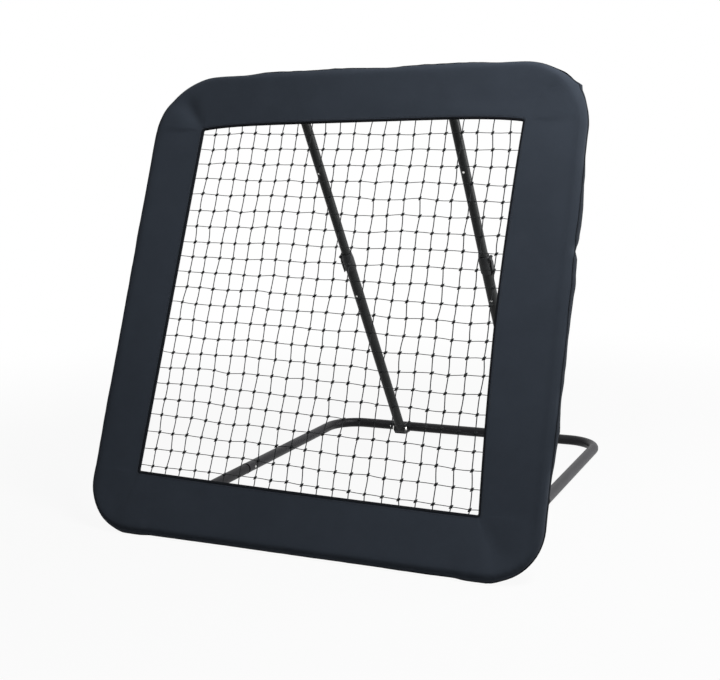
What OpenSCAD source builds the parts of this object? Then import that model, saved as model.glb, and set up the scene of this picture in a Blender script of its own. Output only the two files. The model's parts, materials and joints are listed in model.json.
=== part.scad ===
// Pitch-back rebounder: a sleeved net panel that leans back on a U-shaped ground
// frame and is propped by two telescopic stays with cam-lever collars.
// Millimetres, X across, Y from front to back, Z up. The origin is the middle of
// the footprint on the ground. Inside the file, a shape is first placed from the
// hinge axis, which is the axis of the panel's bottom tube.

/* [Panel frame] */
// Distance between the axes of the two side tubes
frame_w = 944; // [800:1:1200]
// Distance between the axes of the bottom tube and the top tube
frame_h = 976; // [900:1:1100]
// Outer diameter of the panel frame and ground frame tubes
tube_d = 25; // [22:0.5:28]
// Wall thickness of the panel frame and ground frame tubes
tube_wall = 1.5; // [1:0.1:2]
// Bend radius of the panel's upper corners, on the tube axis
upper_bend = 130; // [80:1:150]
// Bend radius of the panel's lower corners, on the tube axis
lower_bend = 88; // [60:1:95]
// Height above the bottom tube at which the two frame halves join
frame_joint_h = 488; // [400:1:600]
// Length of the swaged end that plugs into the next tube
spigot_len = 55; // [35:1:80]
// Angle by which the panel leans back from upright
lean = 22; // [14:0.5:32]

/* [Sleeve and net] */
// Width of the sleeve's border, from the tube axis to the opening's edge
border_w = 105.5; // [90:0.5:120]
// Thickness of the sleeve's cloth
cloth_t = 0.9; // [0.6:0.1:1.2]
// Play between the sleeve and what it covers
sleeve_play = 0.3; // [0.2:0.1:0.6]
// Thickness of the two sewn layers at the opening's edge
hem_t = 3; // [2.4:0.1:4]
// Width of the sewn strip where front and back layers meet
seam_w = 9; // [6:0.5:14]
// Width of the binding tape folded over the opening's edge
binding_w = 11; // [8:0.5:16]
// Thickness of the binding tape
binding_t = 0.8; // [0.5:0.1:1.2]
// Width of the closing strips on the back of the sleeve
closure_w = 28; // [18:1:34]
// Thickness of the closing strips
closure_t = 1; // [0.6:0.1:1.5]
// Distance of the closing strips from the tube axis
closure_inset = 40; // [38:1:50]
// Number of net meshes across
meshes_x = 17; // [12:1:17]
// Number of net meshes up
meshes_z = 17; // [12:1:17]
// Thickness of the net's cord
net_cord = 2.4; // [1.6:0.2:3]

/* [Ground frame] */
// Distance from the end of the panel's lower bend to the hinge strap
strap_inset = 3; // [2:1:40]
// Bend radius of the ground frame's rear corners, on the tube axis
base_bend = 80; // [70:1:130]
// Distance from the hinge axis to the joint in each ground leg
leg_joint_y = 460; // [300:1:520]
// Distance from the hinge axis to the front end of each leg tube
leg_start_y = 20; // [18:0.5:26]
// Plate thickness of the hinge straps and rail brackets
strap_t = 2.5; // [2:0.1:3.5]
// Width of a hinge strap
strap_w = 24; // [18:1:30]
// Reach of a hinge strap behind the hinge axis
strap_len = 62; // [56:1:80]
// Running play of the hinge straps on the bottom tube
hinge_play = 0.08; // [0.05:0.01:0.1]
// Distance between the rivets of a hinge strap
strap_rivet_pitch = 18; // [14:1:20]
// Distance from a strap's rear edge to its rear rivet
strap_rivet_edge = 10; // [8:1:12]
// Diameter of the strap rivets
strap_rivet_d = 5; // [4:0.5:6]
// Gap between the two tubes of a ground leg at their joint
leg_joint_gap = 2; // [0:0.5:4]

/* [Stays] */
// Distance between the axes of the two stays
stay_spacing = 348; // [240:1:440]
// Distance of the upper pivots behind the top tube's axis
top_setback = 28; // [27:0.5:34]
// Distance of the lower pivots in front of the rail's axis
rail_setback = 27; // [26.5:0.5:34]
// Outer diameter of the lower stay tubes
lower_stay_d = 25.5; // [25:0.5:26]
// Wall thickness of the lower stay tubes
lower_stay_wall = 1.2; // [1:0.1:1.5]
// Distance from the lower pivot to the top end of the lower stay tube
lower_stay_len = 592; // [540:1:640]
// Gap between the upper stay tube and the bore of the lower tube
stay_gap = 0.8; // [0.7:0.1:1.2]
// Wall thickness of the upper stay tubes
upper_stay_wall = 1.2; // [1:0.1:1.5]
// Distance from the upper pivot to the lower end of the upper stay tube
upper_stay_len = 755; // [650:1:760]
// Distance from the lower pivot to the stop rivet of the lower tube
lower_rivet_z = 484; // [420:1:500]
// Distance from the upper pivot to the stop rivet of the upper tube
upper_rivet_drop = 222; // [150:1:240]
// Depth of the plugs inside the stay tubes
plug_depth = 34; // [24:1:40]
// Sliding play of the upper stay in the collar and in the lower tube
slide_play = 0.3; // [0.2:0.05:0.4]

/* [Collars and levers] */
// Outer diameter of the collar
collar_d = 29; // [28.5:0.5:31]
// Length of the collar
collar_len = 48; // [44:1:64]
// Length of the collar that stands above the lower tube's end
collar_head = 19; // [18:1:24]
// Distance of the lever pin from the stay's axis
pin_offset = 14.6; // [14.5:0.1:15.6]
// Distance of the lever pin above the lower tube's end
pin_rise = 10; // [8.5:0.5:12]
// Diameter of the lever pin
pin_d = 3; // [2.5:0.1:3.2]
// Width of the lever between the collar's ears
lever_w = 10; // [8:0.5:12]
// Length of the lever from its pin to its tip
lever_len = 47; // [36:1:56]

/* [Fasteners] */
// Diameter of the pivot bolts
bolt_d = 6; // [5:1:8]
// Plate thickness of the pivot brackets' ears
ear_t = 3; // [2:0.5:4]
// Diameter of the small screws and rivets
screw_d = 3.2; // [2.5:0.1:4]

/* [Hidden] */
$fn = 32;
LEFT = -1;
RIGHT = 1;
SIDES = [LEFT, RIGHT];

// A length by which a cut runs past what it cuts
past = 1;
// Play of one tube's swaged end in the next tube
swage_play = 0.05;
// Play between a pivot eye and the ears beside it
eye_play = 0.5;
// Running play of a pivot bolt or lever pin in its eye
pin_play = 0.06;

// Tubes and straps
tube_r = tube_d / 2;
bore_r = tube_r - tube_wall;
spigot_r = bore_r - swage_play;
swage_neck = 8;
strap_in_r = tube_r + hinge_play;
strap_out_r = strap_in_r + strap_t;
// The strap plates and rail brackets lie on the ground
hinge_h = strap_out_r;
leg_spacing = frame_w - 2 * (lower_bend + strap_inset) - strap_w;

// Sleeve
channel_r = tube_r + sleeve_play;
bead_r = channel_r + cloth_t;
border_slope = (bead_r - hem_t / 2) / border_w;
function outer_half(n) = bead_r - border_slope * n;
function inner_half(n) = channel_r - border_slope * n;
strap_pocket_r = strap_out_r + sleeve_play / 2;
strap_bulge_r = strap_pocket_r + cloth_t;
// The strap slots leave room for this steepest lean
slot_lean = 38;
slot_side_play = 3;
slot_depth = 32;

// Net
net_w = frame_w - 2 * (border_w + binding_t);
net_h = frame_h - 2 * (border_w + binding_t);

// Pivots. The rail pivot is as far from the hinge as the upper pivot, so the
// stays turn half as far as the panel and stay in line at every lean.
pivot_reach = norm([frame_h, top_setback]);
top_y = frame_h * sin(lean) + top_setback * cos(lean);
top_z = frame_h * cos(lean) - top_setback * sin(lean);
stay_len = norm([pivot_reach - top_y, top_z]);
stay_tilt = atan2(pivot_reach - top_y, top_z);
rail_y = pivot_reach + rail_setback;
footprint_mid = (rail_y + strap_out_r - strap_bulge_r) / 2;

// Stays
lower_r = lower_stay_d / 2;
lower_bore_r = lower_r - lower_stay_wall;
upper_r = lower_bore_r - stay_gap;
upper_bore_r = upper_r - upper_stay_wall;
foot_eye_r = 12;
head_eye_r = 9.9;
eye_neck = 14;
foot_eye_w = 24;
head_eye_w = 20;
guide_h = 4;
bolt_r = bolt_d / 2;
hex_r = bolt_d * 0.96;
head_r = bolt_d * 0.85;
head_h = bolt_d * 0.55;
nut_h = bolt_d * 0.8;
bolt_end = 2;
screw_r = screw_d / 2;
screw_head_r = screw_d * 0.8;
screw_head_h = 1.3;
strap_rivet_head = 1.4;

// Collars
collar_r = collar_d / 2;
collar_top = lower_stay_len + collar_head;
// The collar narrows above the lower tube to a thin rim round the upper tube
collar_rim_r = upper_r + 1.8;
pin_z = lower_stay_len + pin_rise;
pin_r = pin_d / 2;
lever_play = 0.3;
collar_ear_t = 3;
collar_ear_r = pin_r + 2.2;
ear_drop = 7;
cam_offset = 0.3;
cam_r = pin_offset - cam_offset - upper_r - slide_play;
lever_t = 2.6;
lever_tip_t = 1.8;
lever_gap = 0.5;
paddle_w = lever_w + 4;
paddle_drop = 12;
// The window that the cam turns in, above and below the pin
window_up = cam_r + cam_offset + lever_play;
window_down = collar_ear_r + ear_drop / 2 + lever_play;

// ---- placing -------------------------------------------------------------

// From hinge coordinates to the finished position
module placed() {
    translate([0, -footprint_mid, hinge_h]) children();
}

// Panel coordinates: X across, Y out of the back, Z up along the panel
module on_panel() {
    placed() rotate([-lean, 0, 0]) children();
}

// Stay coordinates: Z from the rail pivot to the upper pivot
module on_stay(side) {
    placed() translate([side * stay_spacing / 2, pivot_reach, 0])
        rotate([stay_tilt, 0, 0]) children();
}

// The upper pivot of one stay, in panel coordinates
module at_top_pivot(side) {
    on_panel() translate([side * stay_spacing / 2, top_setback, frame_h]) children();
}

// The rail pivot of one stay
module at_rail_pivot(side) {
    placed() translate([side * stay_spacing / 2, pivot_reach, 0]) children();
}

// The hinge point of one ground leg
module at_leg(side) {
    placed() translate([side * leg_spacing / 2, 0, 0]) children();
}

// ---- shared shapes --------------------------------------------------------

module x_cylinder(r, h) {
    rotate([0, 90, 0]) cylinder(r = r, h = h, center = true);
}

module y_cylinder(r, h) {
    rotate([90, 0, 0]) cylinder(r = r, h = h, center = true);
}

// An outline in (Y, Z) given a width along X
module x_plate(w) {
    rotate([90, 0, 90]) linear_extrude(height = w, center = true) children();
}

// A round bar bent to a U: the base run along X at z = 0, the arms up to z = arm
module u_bar(w, arm, bend, r) {
    x_cylinder(r, w - 2 * bend);
    for (side = SIDES) {
        translate([side * w / 2, 0, bend]) cylinder(r = r, h = arm - bend);
        translate([side * (w / 2 - bend), 0, bend]) rotate([90, 0, 0])
            rotate(side == RIGHT ? -90 : 180)
                rotate_extrude(angle = 90) translate([bend, 0]) circle(r);
    }
}

// A round bar along the whole loop of the panel frame
module loop_bar(r) {
    u_bar(frame_w, frame_h / 2, lower_bend, r);
    translate([0, 0, frame_h]) mirror([0, 0, 1]) u_bar(frame_w, frame_h / 2, upper_bend, r);
}

// A swaged end: a neck inside the tube's own end and a spigot beyond it
module swaged_end() {
    difference() {
        union() {
            translate([0, 0, -swage_neck]) cylinder(r = tube_r, h = swage_neck);
            cylinder(r = spigot_r, h = spigot_len);
        }
        translate([0, 0, -swage_neck - past])
            cylinder(r = spigot_r - tube_wall, h = swage_neck + spigot_len + 2 * past);
    }
}

// A pan-head screw or rivet: its head on the tube at z = 0, its shank below
module small_screw(shank) {
    cylinder(r = screw_head_r, h = screw_head_h);
    translate([0, 0, -shank]) cylinder(r = screw_r, h = shank);
}

// A pivot bolt across a bracket whose ears are out_w wide over all
module pivot_bolt(out_w) {
    x_cylinder(bolt_r, out_w);
    translate([out_w / 2, 0, 0]) rotate([0, 90, 0])
        cylinder(r1 = head_r, r2 = head_r * 0.6, h = head_h);
    translate([-out_w / 2 - nut_h - bolt_end, 0, 0]) rotate([0, 90, 0])
        cylinder(r = bolt_r, h = nut_h + bolt_end);
}

module pivot_nut(out_w) {
    difference() {
        translate([-out_w / 2 - nut_h, 0, 0]) rotate([0, 90, 0])
            cylinder(r = hex_r, h = nut_h, $fn = 6);
        x_cylinder(bolt_r, out_w + 4 * nut_h);
    }
}

// ---- panel frame ----------------------------------------------------------

frame_screw_z = frame_joint_h + spigot_len / 2;

module frame_screw_holes() {
    for (side = SIDES)
        translate([side * (frame_w / 2 - tube_r), 0, frame_screw_z])
            x_cylinder(screw_r, 2 * (tube_wall * 2 + past));
}

module lower_frame() {
    color("#2b2d2e") on_panel() difference() {
        union() {
            difference() {
                u_bar(frame_w, frame_joint_h, lower_bend, tube_r);
                u_bar(frame_w, frame_joint_h + past, lower_bend, bore_r);
            }
            for (side = SIDES)
                translate([side * frame_w / 2, 0, frame_joint_h]) swaged_end();
        }
        frame_screw_holes();
    }
}

module upper_frame() {
    color("#2b2d2e") on_panel() difference() {
        translate([0, 0, frame_h]) mirror([0, 0, 1]) difference() {
            u_bar(frame_w, frame_h - frame_joint_h, upper_bend, tube_r);
            u_bar(frame_w, frame_h - frame_joint_h + past, upper_bend, bore_r);
        }
        frame_screw_holes();
    }
}

module frame_screws() {
    color("silver") on_panel() for (side = SIDES)
        translate([side * (frame_w / 2 - tube_r), 0, frame_screw_z])
            rotate([0, -side * 90, 0]) small_screw(2 * tube_wall + past);
}

// ---- sleeve, binding, closing strips and net -------------------------------

// The flat outline inside the panel's tube axis, with its round corners
module frame_outline() {
    straight_top = frame_h - upper_bend;
    translate([-frame_w / 2, lower_bend]) square([frame_w, straight_top - lower_bend]);
    translate([lower_bend - frame_w / 2, 0]) square([frame_w - 2 * lower_bend, straight_top]);
    translate([upper_bend - frame_w / 2, lower_bend])
        square([frame_w - 2 * upper_bend, frame_h - lower_bend]);
    for (side = SIDES) {
        translate([side * (frame_w / 2 - lower_bend), lower_bend]) circle(lower_bend, $fn = 64);
        translate([side * (frame_w / 2 - upper_bend), straight_top]) circle(upper_bend, $fn = 64);
    }
}

// Four strips along the panel's sides, whose section is given in (n, Y), where n
// runs inwards from the tube axis, and which end a distance inset from the corners
module four_strips(inset, section) {
    for (side = SIDES)
        translate([side * frame_w / 2, 0, inset]) linear_extrude(height = frame_h - 2 * inset)
            polygon([for (p = section) [-side * p[0], p[1]]]);
    for (end = [0, 1])
        translate([0, 0, end * frame_h]) rotate([90, 0, 90])
            linear_extrude(height = frame_w - 2 * inset, center = true)
                polygon([for (p = section) [p[1], (1 - 2 * end) * p[0]]]);
}

module border(half_start, half_end, reach) {
    intersection() {
        four_strips(0, [[0, half_start], [reach, half_end], [reach, -half_end], [0, -half_start]]);
        rotate([90, 0, 0]) linear_extrude(height = 4 * bead_r, center = true) frame_outline();
    }
}

// Room behind the bottom tube for a hinge strap, at every lean up to slot_lean
module strap_slot() {
    r = strap_out_r + sleeve_play + cloth_t;
    x_plate(strap_w + 2 * slot_side_play) polygon([
        [0, -strap_bulge_r - past],
        [slot_depth, -strap_bulge_r - past],
        [slot_depth, r / cos(slot_lean) + slot_depth * tan(slot_lean)],
        [-r * sin(slot_lean), r * cos(slot_lean)],
        [0, 0]]);
}

bracket_slot_play = 1.6;

module bracket_slot(half_w) {
    translate([-half_w, tube_wall, -bead_r])
        cube([2 * half_w, slot_depth, 2 * bead_r - cloth_t]);
}

module sleeve() {
    pocket_w = strap_w + slot_side_play;
    color("#2e343c") on_panel() difference() {
        union() {
            loop_bar(bead_r);
            border(outer_half(0), outer_half(border_w), border_w);
            for (side = SIDES) translate([side * leg_spacing / 2, 0, 0])
                x_cylinder(strap_bulge_r, strap_w + 2 * slot_side_play + 2 * cloth_t);
        }
        loop_bar(channel_r);
        border(inner_half(0), inner_half(border_w - seam_w), border_w - seam_w);
        for (side = SIDES) {
            translate([side * leg_spacing / 2, 0, 0]) x_cylinder(strap_pocket_r, pocket_w);
            translate([side * leg_spacing / 2, 0, 0]) strap_slot();
            translate([side * stay_spacing / 2, 0, frame_h])
                bracket_slot(top_ear_out + bracket_slot_play);
        }
    }
}

module hem_binding() {
    from = border_w - binding_w;
    to = border_w + binding_t;
    color("#1b1e22") on_panel() difference() {
        four_strips(from, [
            [from, outer_half(from) + binding_t],
            [to, outer_half(to) + binding_t],
            [to, -outer_half(to) - binding_t],
            [from, -outer_half(from) - binding_t]]);
        four_strips(0, [
            [0, outer_half(0)],
            [border_w, outer_half(border_w)],
            [border_w, -outer_half(border_w)],
            [0, -outer_half(0)]]);
    }
}

// One closing strip lying on the back slope of the border, as a section in (n, Y)
function closure_section() = [
    [closure_inset, outer_half(closure_inset)],
    [closure_inset + closure_w, outer_half(closure_inset + closure_w)],
    [closure_inset + closure_w, outer_half(closure_inset + closure_w) + closure_t],
    [closure_inset, outer_half(closure_inset) + closure_t]];

module closing_strips() {
    end_gap = 24;
    side_len = frame_h - upper_bend - lower_bend - 2 * end_gap;
    cross_len = leg_spacing - strap_w - 2 * end_gap;
    color("#24282e") on_panel() {
        for (side = SIDES)
            translate([side * frame_w / 2, 0, lower_bend + end_gap])
                linear_extrude(height = side_len)
                    polygon([for (p = closure_section()) [-side * p[0], p[1]]]);
        for (end = [0, 1])
            translate([0, 0, end * frame_h]) x_plate(cross_len)
                polygon([for (p = closure_section()) [p[1], (1 - 2 * end) * p[0]]]);
    }
}

module net() {
    pitch_x = net_w / meshes_x;
    pitch_z = net_h / meshes_z;
    color("#26292d") on_panel() translate([0, 0, frame_h / 2])
        rotate([90, 0, 0]) linear_extrude(height = net_cord, center = true) {
            for (i = [1 : meshes_x - 1])
                translate([i * pitch_x - net_w / 2, 0]) square([net_cord, net_h], center = true);
            for (i = [1 : meshes_z - 1])
                translate([0, i * pitch_z - net_h / 2]) square([net_w, net_cord], center = true);
        }
}

// ---- upper pivots ---------------------------------------------------------

top_ear_in = head_eye_w / 2 + eye_play;
top_ear_out = top_ear_in + ear_t;
top_ear_r = head_eye_r;

module top_bracket(side) {
    web_y = tube_r * 0.7;
    color("#2b2d2e") at_top_pivot(side) difference() {
        union() {
            for (ear = SIDES) translate([ear * (top_ear_in + ear_t / 2), 0, 0]) {
                x_cylinder(top_ear_r, ear_t);
                translate([-ear_t / 2, web_y - top_setback, -top_ear_r])
                    cube([ear_t, top_setback - web_y, 2 * top_ear_r]);
            }
            translate([-top_ear_in, web_y - top_setback, -top_ear_r])
                cube([2 * top_ear_in, tube_r - web_y + ear_t, 2 * top_ear_r]);
        }
        translate([0, -top_setback, 0]) x_cylinder(tube_r, 2 * top_ear_out + past);
        x_cylinder(bolt_r, 2 * top_ear_out + past);
    }
}

module top_bracket_left() { top_bracket(LEFT); }
module top_bracket_right() { top_bracket(RIGHT); }

module top_bolts() {
    color("silver") for (side = SIDES) at_top_pivot(side) pivot_bolt(2 * top_ear_out);
}

module top_nuts() {
    color("silver") for (side = SIDES) at_top_pivot(side) pivot_nut(2 * top_ear_out);
}

// ---- hinge straps and ground legs -----------------------------------------

rear_rivet_y = strap_len - strap_rivet_edge;
strap_rivet_ys = [rear_rivet_y - strap_rivet_pitch, rear_rivet_y];
strap_rivet_r = strap_rivet_d / 2;

module strap_rivet_shanks(low, high) {
    for (y = strap_rivet_ys)
        translate([0, y, low]) cylinder(r = strap_rivet_r, h = high - low);
}

// A U-shaped strap round the front of the bottom tube, with a plate above and
// below the leg's end
module hinge_strap(side) {
    color("#2b2d2e") at_leg(side) difference() {
        x_plate(strap_w) difference() {
            union() {
                circle(strap_out_r);
                translate([0, -strap_out_r]) square([strap_len, 2 * strap_out_r]);
            }
            circle(strap_in_r);
            translate([0, -strap_in_r]) square([strap_len + past, 2 * strap_in_r]);
        }
        strap_rivet_shanks(-strap_out_r - past, strap_out_r + past);
    }
}

module hinge_strap_left() { hinge_strap(LEFT); }
module hinge_strap_right() { hinge_strap(RIGHT); }

module strap_rivets() {
    color("silver") for (side = SIDES) at_leg(side) {
        strap_rivet_shanks(-strap_out_r, strap_out_r);
        for (y = strap_rivet_ys)
            translate([0, y, strap_out_r])
                cylinder(r = strap_rivet_d * 0.9, h = strap_rivet_head);
    }
}

// A moulded plug that closes the leg's front end and bears on the bottom tube
module leg_plug(side) {
    color("#1c1d1e") at_leg(side) difference() {
        union() {
            rotate([-90, 0, 0]) cylinder(r = tube_r, h = leg_start_y);
            rotate([-90, 0, 0]) cylinder(r = bore_r, h = strap_len);
        }
        x_cylinder(strap_in_r, 2 * tube_d);
        strap_rivet_shanks(-tube_d, tube_d);
    }
}

module leg_plug_left() { leg_plug(LEFT); }
module leg_plug_right() { leg_plug(RIGHT); }

leg_screw_y = leg_joint_y + spigot_len / 2;

module leg_screw_hole(side) {
    translate([-side * tube_r, leg_screw_y, 0]) x_cylinder(screw_r, 2 * (tube_wall * 2 + past));
}

module front_leg(side) {
    color("#34383a") at_leg(side) difference() {
        union() {
            difference() {
                translate([0, leg_start_y, 0]) rotate([-90, 0, 0])
                    cylinder(r = tube_r, h = leg_joint_y - leg_start_y);
                translate([0, leg_start_y - past, 0]) rotate([-90, 0, 0])
                    cylinder(r = bore_r, h = leg_joint_y - leg_start_y + 2 * past);
            }
            translate([0, leg_joint_y, 0]) rotate([-90, 0, 0]) swaged_end();
        }
        strap_rivet_shanks(-tube_d, tube_d);
        leg_screw_hole(side);
    }
}

module front_leg_left() { front_leg(LEFT); }
module front_leg_right() { front_leg(RIGHT); }

module leg_screws() {
    color("silver") for (side = SIDES) at_leg(side)
        translate([-side * tube_r, leg_screw_y, 0])
            rotate([0, -side * 90, 0]) small_screw(2 * tube_wall + past);
}

// ---- rear hoop and rail pivots --------------------------------------------

rail_screw_offset = 34;

module rail_screw_place(side) {
    placed() translate([side * (stay_spacing / 2 + rail_screw_offset), rail_y - tube_r, 0])
        rotate([90, 0, 0]) children();
}

module rear_hoop() {
    arm = rail_y - leg_joint_y - leg_joint_gap;
    color("#34383a") difference() {
        placed() translate([0, rail_y, 0]) rotate([90, 0, 0]) difference() {
            u_bar(leg_spacing, arm, base_bend, tube_r);
            u_bar(leg_spacing, arm + past, base_bend, bore_r);
        }
        for (side = SIDES) {
            at_leg(side) leg_screw_hole(side);
            rail_screw_place(side) translate([0, 0, -2 * tube_wall])
                cylinder(r = screw_r, h = 3 * tube_wall);
        }
    }
}

module rail_screws() {
    color("silver") for (side = SIDES) rail_screw_place(side) small_screw(2 * tube_wall);
}

rail_ear_in = foot_eye_w / 2 + eye_play;
rail_ear_out = rail_ear_in + ear_t;

// Two ears on a flat foot plate, with the rail passing through both ears
module rail_bracket(side) {
    foot_front = -foot_eye_r / 6;
    color("#2b2d2e") at_rail_pivot(side) difference() {
        union() {
            for (ear = SIDES) translate([ear * (rail_ear_in + ear_t / 2), 0, 0]) x_plate(ear_t) {
                circle(foot_eye_r);
                translate([rail_setback, 0]) circle(strap_out_r);
                polygon([[0, foot_eye_r], [rail_setback, strap_out_r],
                    [rail_setback, -strap_out_r], [foot_front, -strap_out_r],
                    [-foot_eye_r * cos(30), -foot_eye_r / 2]]);
            }
            translate([-rail_ear_in, foot_front, -strap_out_r])
                cube([2 * rail_ear_in, rail_setback - foot_front, strap_t]);
        }
        translate([0, rail_setback, 0]) x_cylinder(tube_r, 2 * rail_ear_out + past);
        x_cylinder(bolt_r, 2 * rail_ear_out + past);
    }
}

module rail_bracket_left() { rail_bracket(LEFT); }
module rail_bracket_right() { rail_bracket(RIGHT); }

module rail_bolts() {
    color("silver") for (side = SIDES) at_rail_pivot(side) pivot_bolt(2 * rail_ear_out);
}

module rail_nuts() {
    color("silver") for (side = SIDES) at_rail_pivot(side) pivot_nut(2 * rail_ear_out);
}

// ---- lower stays ----------------------------------------------------------

// A plug with a pivot eye at z = 0 and a spigot up into its tube
module eye_plug(eye_r, eye_w, neck_r, in_r) {
    difference() {
        union() {
            x_cylinder(eye_r, eye_w);
            cylinder(r = neck_r, h = eye_neck);
            cylinder(r = in_r, h = eye_neck + plug_depth);
        }
        x_cylinder(bolt_r + pin_play, eye_w + past);
    }
}

module foot_plug(side) {
    color("#1c1d1e") on_stay(side) eye_plug(foot_eye_r, foot_eye_w, foot_eye_r, lower_bore_r);
}

module foot_plug_left() { foot_plug(LEFT); }
module foot_plug_right() { foot_plug(RIGHT); }

// The stop rivet's tail reaches in far enough to catch the guide plug
lower_tail = lower_stay_wall + slide_play * 2;

module lower_rivet_place() {
    translate([0, -lower_r, lower_rivet_z]) rotate([90, 0, 0]) children();
}

module lower_stay(side) {
    color("#2d3033") on_stay(side) difference() {
        translate([0, 0, eye_neck]) cylinder(r = lower_r, h = lower_stay_len - eye_neck);
        translate([0, 0, eye_neck - past])
            cylinder(r = lower_bore_r, h = lower_stay_len - eye_neck + 2 * past);
        lower_rivet_place() translate([0, 0, -2 * lower_stay_wall])
            cylinder(r = screw_r, h = 3 * lower_stay_wall);
    }
}

module lower_stay_left() { lower_stay(LEFT); }
module lower_stay_right() { lower_stay(RIGHT); }

module lower_rivet(side) {
    color("silver") on_stay(side) lower_rivet_place() small_screw(lower_tail);
}

module lower_rivet_left() { lower_rivet(LEFT); }
module lower_rivet_right() { lower_rivet(RIGHT); }

// ---- collars and cam levers -----------------------------------------------

ear_mid = lever_w / 2 + lever_play + collar_ear_t / 2;

module collar(side) {
    color("#1e2021") on_stay(side) difference() {
        union() {
            translate([0, 0, collar_top - collar_len])
                cylinder(r = collar_r, h = collar_len - collar_head);
            translate([0, 0, lower_stay_len])
                cylinder(r1 = collar_r, r2 = collar_rim_r, h = collar_head);
            for (ear = SIDES) translate([0, ear * ear_mid, pin_z]) {
                translate([side * pin_offset, 0, 0]) y_cylinder(collar_ear_r, collar_ear_t);
                translate([side * (pin_offset + upper_r) / 2, 0, -ear_drop / 2])
                    cube([pin_offset - upper_r, collar_ear_t, 2 * collar_ear_r], center = true);
            }
        }
        translate([0, 0, collar_top - collar_len - past])
            cylinder(r = lower_r, h = collar_len - collar_head + past);
        cylinder(r = upper_r + slide_play, h = collar_top + past);
        translate([side * pin_offset, 0, pin_z + (window_up - window_down) / 2])
            cube([2 * (pin_offset - upper_r), lever_w + 2 * lever_play,
                window_up + window_down], center = true);
        translate([side * pin_offset, 0, pin_z]) y_cylinder(pin_r, collar_d);
    }
}

module collar_left() { collar(LEFT); }
module collar_right() { collar(RIGHT); }

module lever_pin(side) {
    color("silver") on_stay(side) translate([side * pin_offset, 0, pin_z]) {
        y_cylinder(pin_r, 2 * ear_mid + collar_ear_t);
        for (end = SIDES) translate([0, end * (ear_mid + collar_ear_t / 2 + 0.4), 0])
            y_cylinder(pin_r + 0.8, 0.8);
    }
}

module lever_pin_left() { lever_pin(LEFT); }
module lever_pin_right() { lever_pin(RIGHT); }

// The cam presses on the upper tube when the lever lies down along the collar
module cam_lever(side) {
    inner_x = collar_r + lever_gap - pin_offset;
    color("#26282a") on_stay(side) translate([side * pin_offset, 0, pin_z]) difference() {
        union() {
            translate([-side * cam_offset, 0, 0]) y_cylinder(cam_r, lever_w);
            translate([side * (inner_x + lever_t / 2), 0, -paddle_drop / 2])
                cube([lever_t, lever_w, paddle_drop], center = true);
            rotate([90, 0, 0]) linear_extrude(height = paddle_w, center = true)
                polygon([[side * inner_x, -paddle_drop],
                    [side * (inner_x + lever_t), -paddle_drop],
                    [side * (inner_x + lever_tip_t), -lever_len],
                    [side * inner_x, -lever_len]]);
        }
        y_cylinder(pin_r + pin_play, paddle_w + past);
    }
}

module cam_lever_left() { cam_lever(LEFT); }
module cam_lever_right() { cam_lever(RIGHT); }

// ---- upper stays ----------------------------------------------------------

module upper_rivet_place() {
    translate([0, -upper_r, stay_len - upper_rivet_drop]) rotate([90, 0, 0]) children();
}

module upper_stay(side) {
    color("#2d3033") on_stay(side) difference() {
        translate([0, 0, stay_len - upper_stay_len])
            cylinder(r = upper_r, h = upper_stay_len - eye_neck);
        translate([0, 0, stay_len - upper_stay_len - past])
            cylinder(r = upper_bore_r, h = upper_stay_len - eye_neck + 2 * past);
        upper_rivet_place() translate([0, 0, -2 * upper_stay_wall])
            cylinder(r = screw_r, h = 3 * upper_stay_wall);
    }
}

module upper_stay_left() { upper_stay(LEFT); }
module upper_stay_right() { upper_stay(RIGHT); }

module upper_rivet(side) {
    color("silver") on_stay(side) upper_rivet_place() small_screw(2 * upper_stay_wall);
}

module upper_rivet_left() { upper_rivet(LEFT); }
module upper_rivet_right() { upper_rivet(RIGHT); }

module head_plug(side) {
    color("#1c1d1e") on_stay(side) translate([0, 0, stay_len]) mirror([0, 0, 1])
        eye_plug(head_eye_r, head_eye_w, head_eye_r, upper_bore_r);
}

module head_plug_left() { head_plug(LEFT); }
module head_plug_right() { head_plug(RIGHT); }

// A guide on the upper tube's lower end, which keeps it centred in the lower tube
module guide_plug(side) {
    color("#1c1d1e") on_stay(side) translate([0, 0, stay_len - upper_stay_len]) {
        translate([0, 0, -guide_h]) cylinder(r = lower_bore_r - slide_play, h = guide_h);
        cylinder(r = upper_bore_r, h = plug_depth);
    }
}

module guide_plug_left() { guide_plug(LEFT); }
module guide_plug_right() { guide_plug(RIGHT); }

lower_frame();
upper_frame();
frame_screws();
sleeve();
hem_binding();
closing_strips();
net();
top_bracket_left();
top_bracket_right();
top_bolts();
top_nuts();
hinge_strap_left();
hinge_strap_right();
strap_rivets();
leg_plug_left();
leg_plug_right();
front_leg_left();
front_leg_right();
leg_screws();
rear_hoop();
rail_bracket_left();
rail_bracket_right();
rail_screws();
rail_bolts();
rail_nuts();
foot_plug_left();
foot_plug_right();
lower_stay_left();
lower_stay_right();
lower_rivet_left();
lower_rivet_right();
collar_left();
collar_right();
lever_pin_left();
lever_pin_right();
cam_lever_left();
cam_lever_right();
upper_stay_left();
upper_stay_right();
head_plug_left();
head_plug_right();
guide_plug_left();
guide_plug_right();
upper_rivet_left();
upper_rivet_right();
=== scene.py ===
"""Dresses a pitch-back rebounder: cloth sleeve, knotted net, fasteners, finishes and studio stage."""

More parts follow.
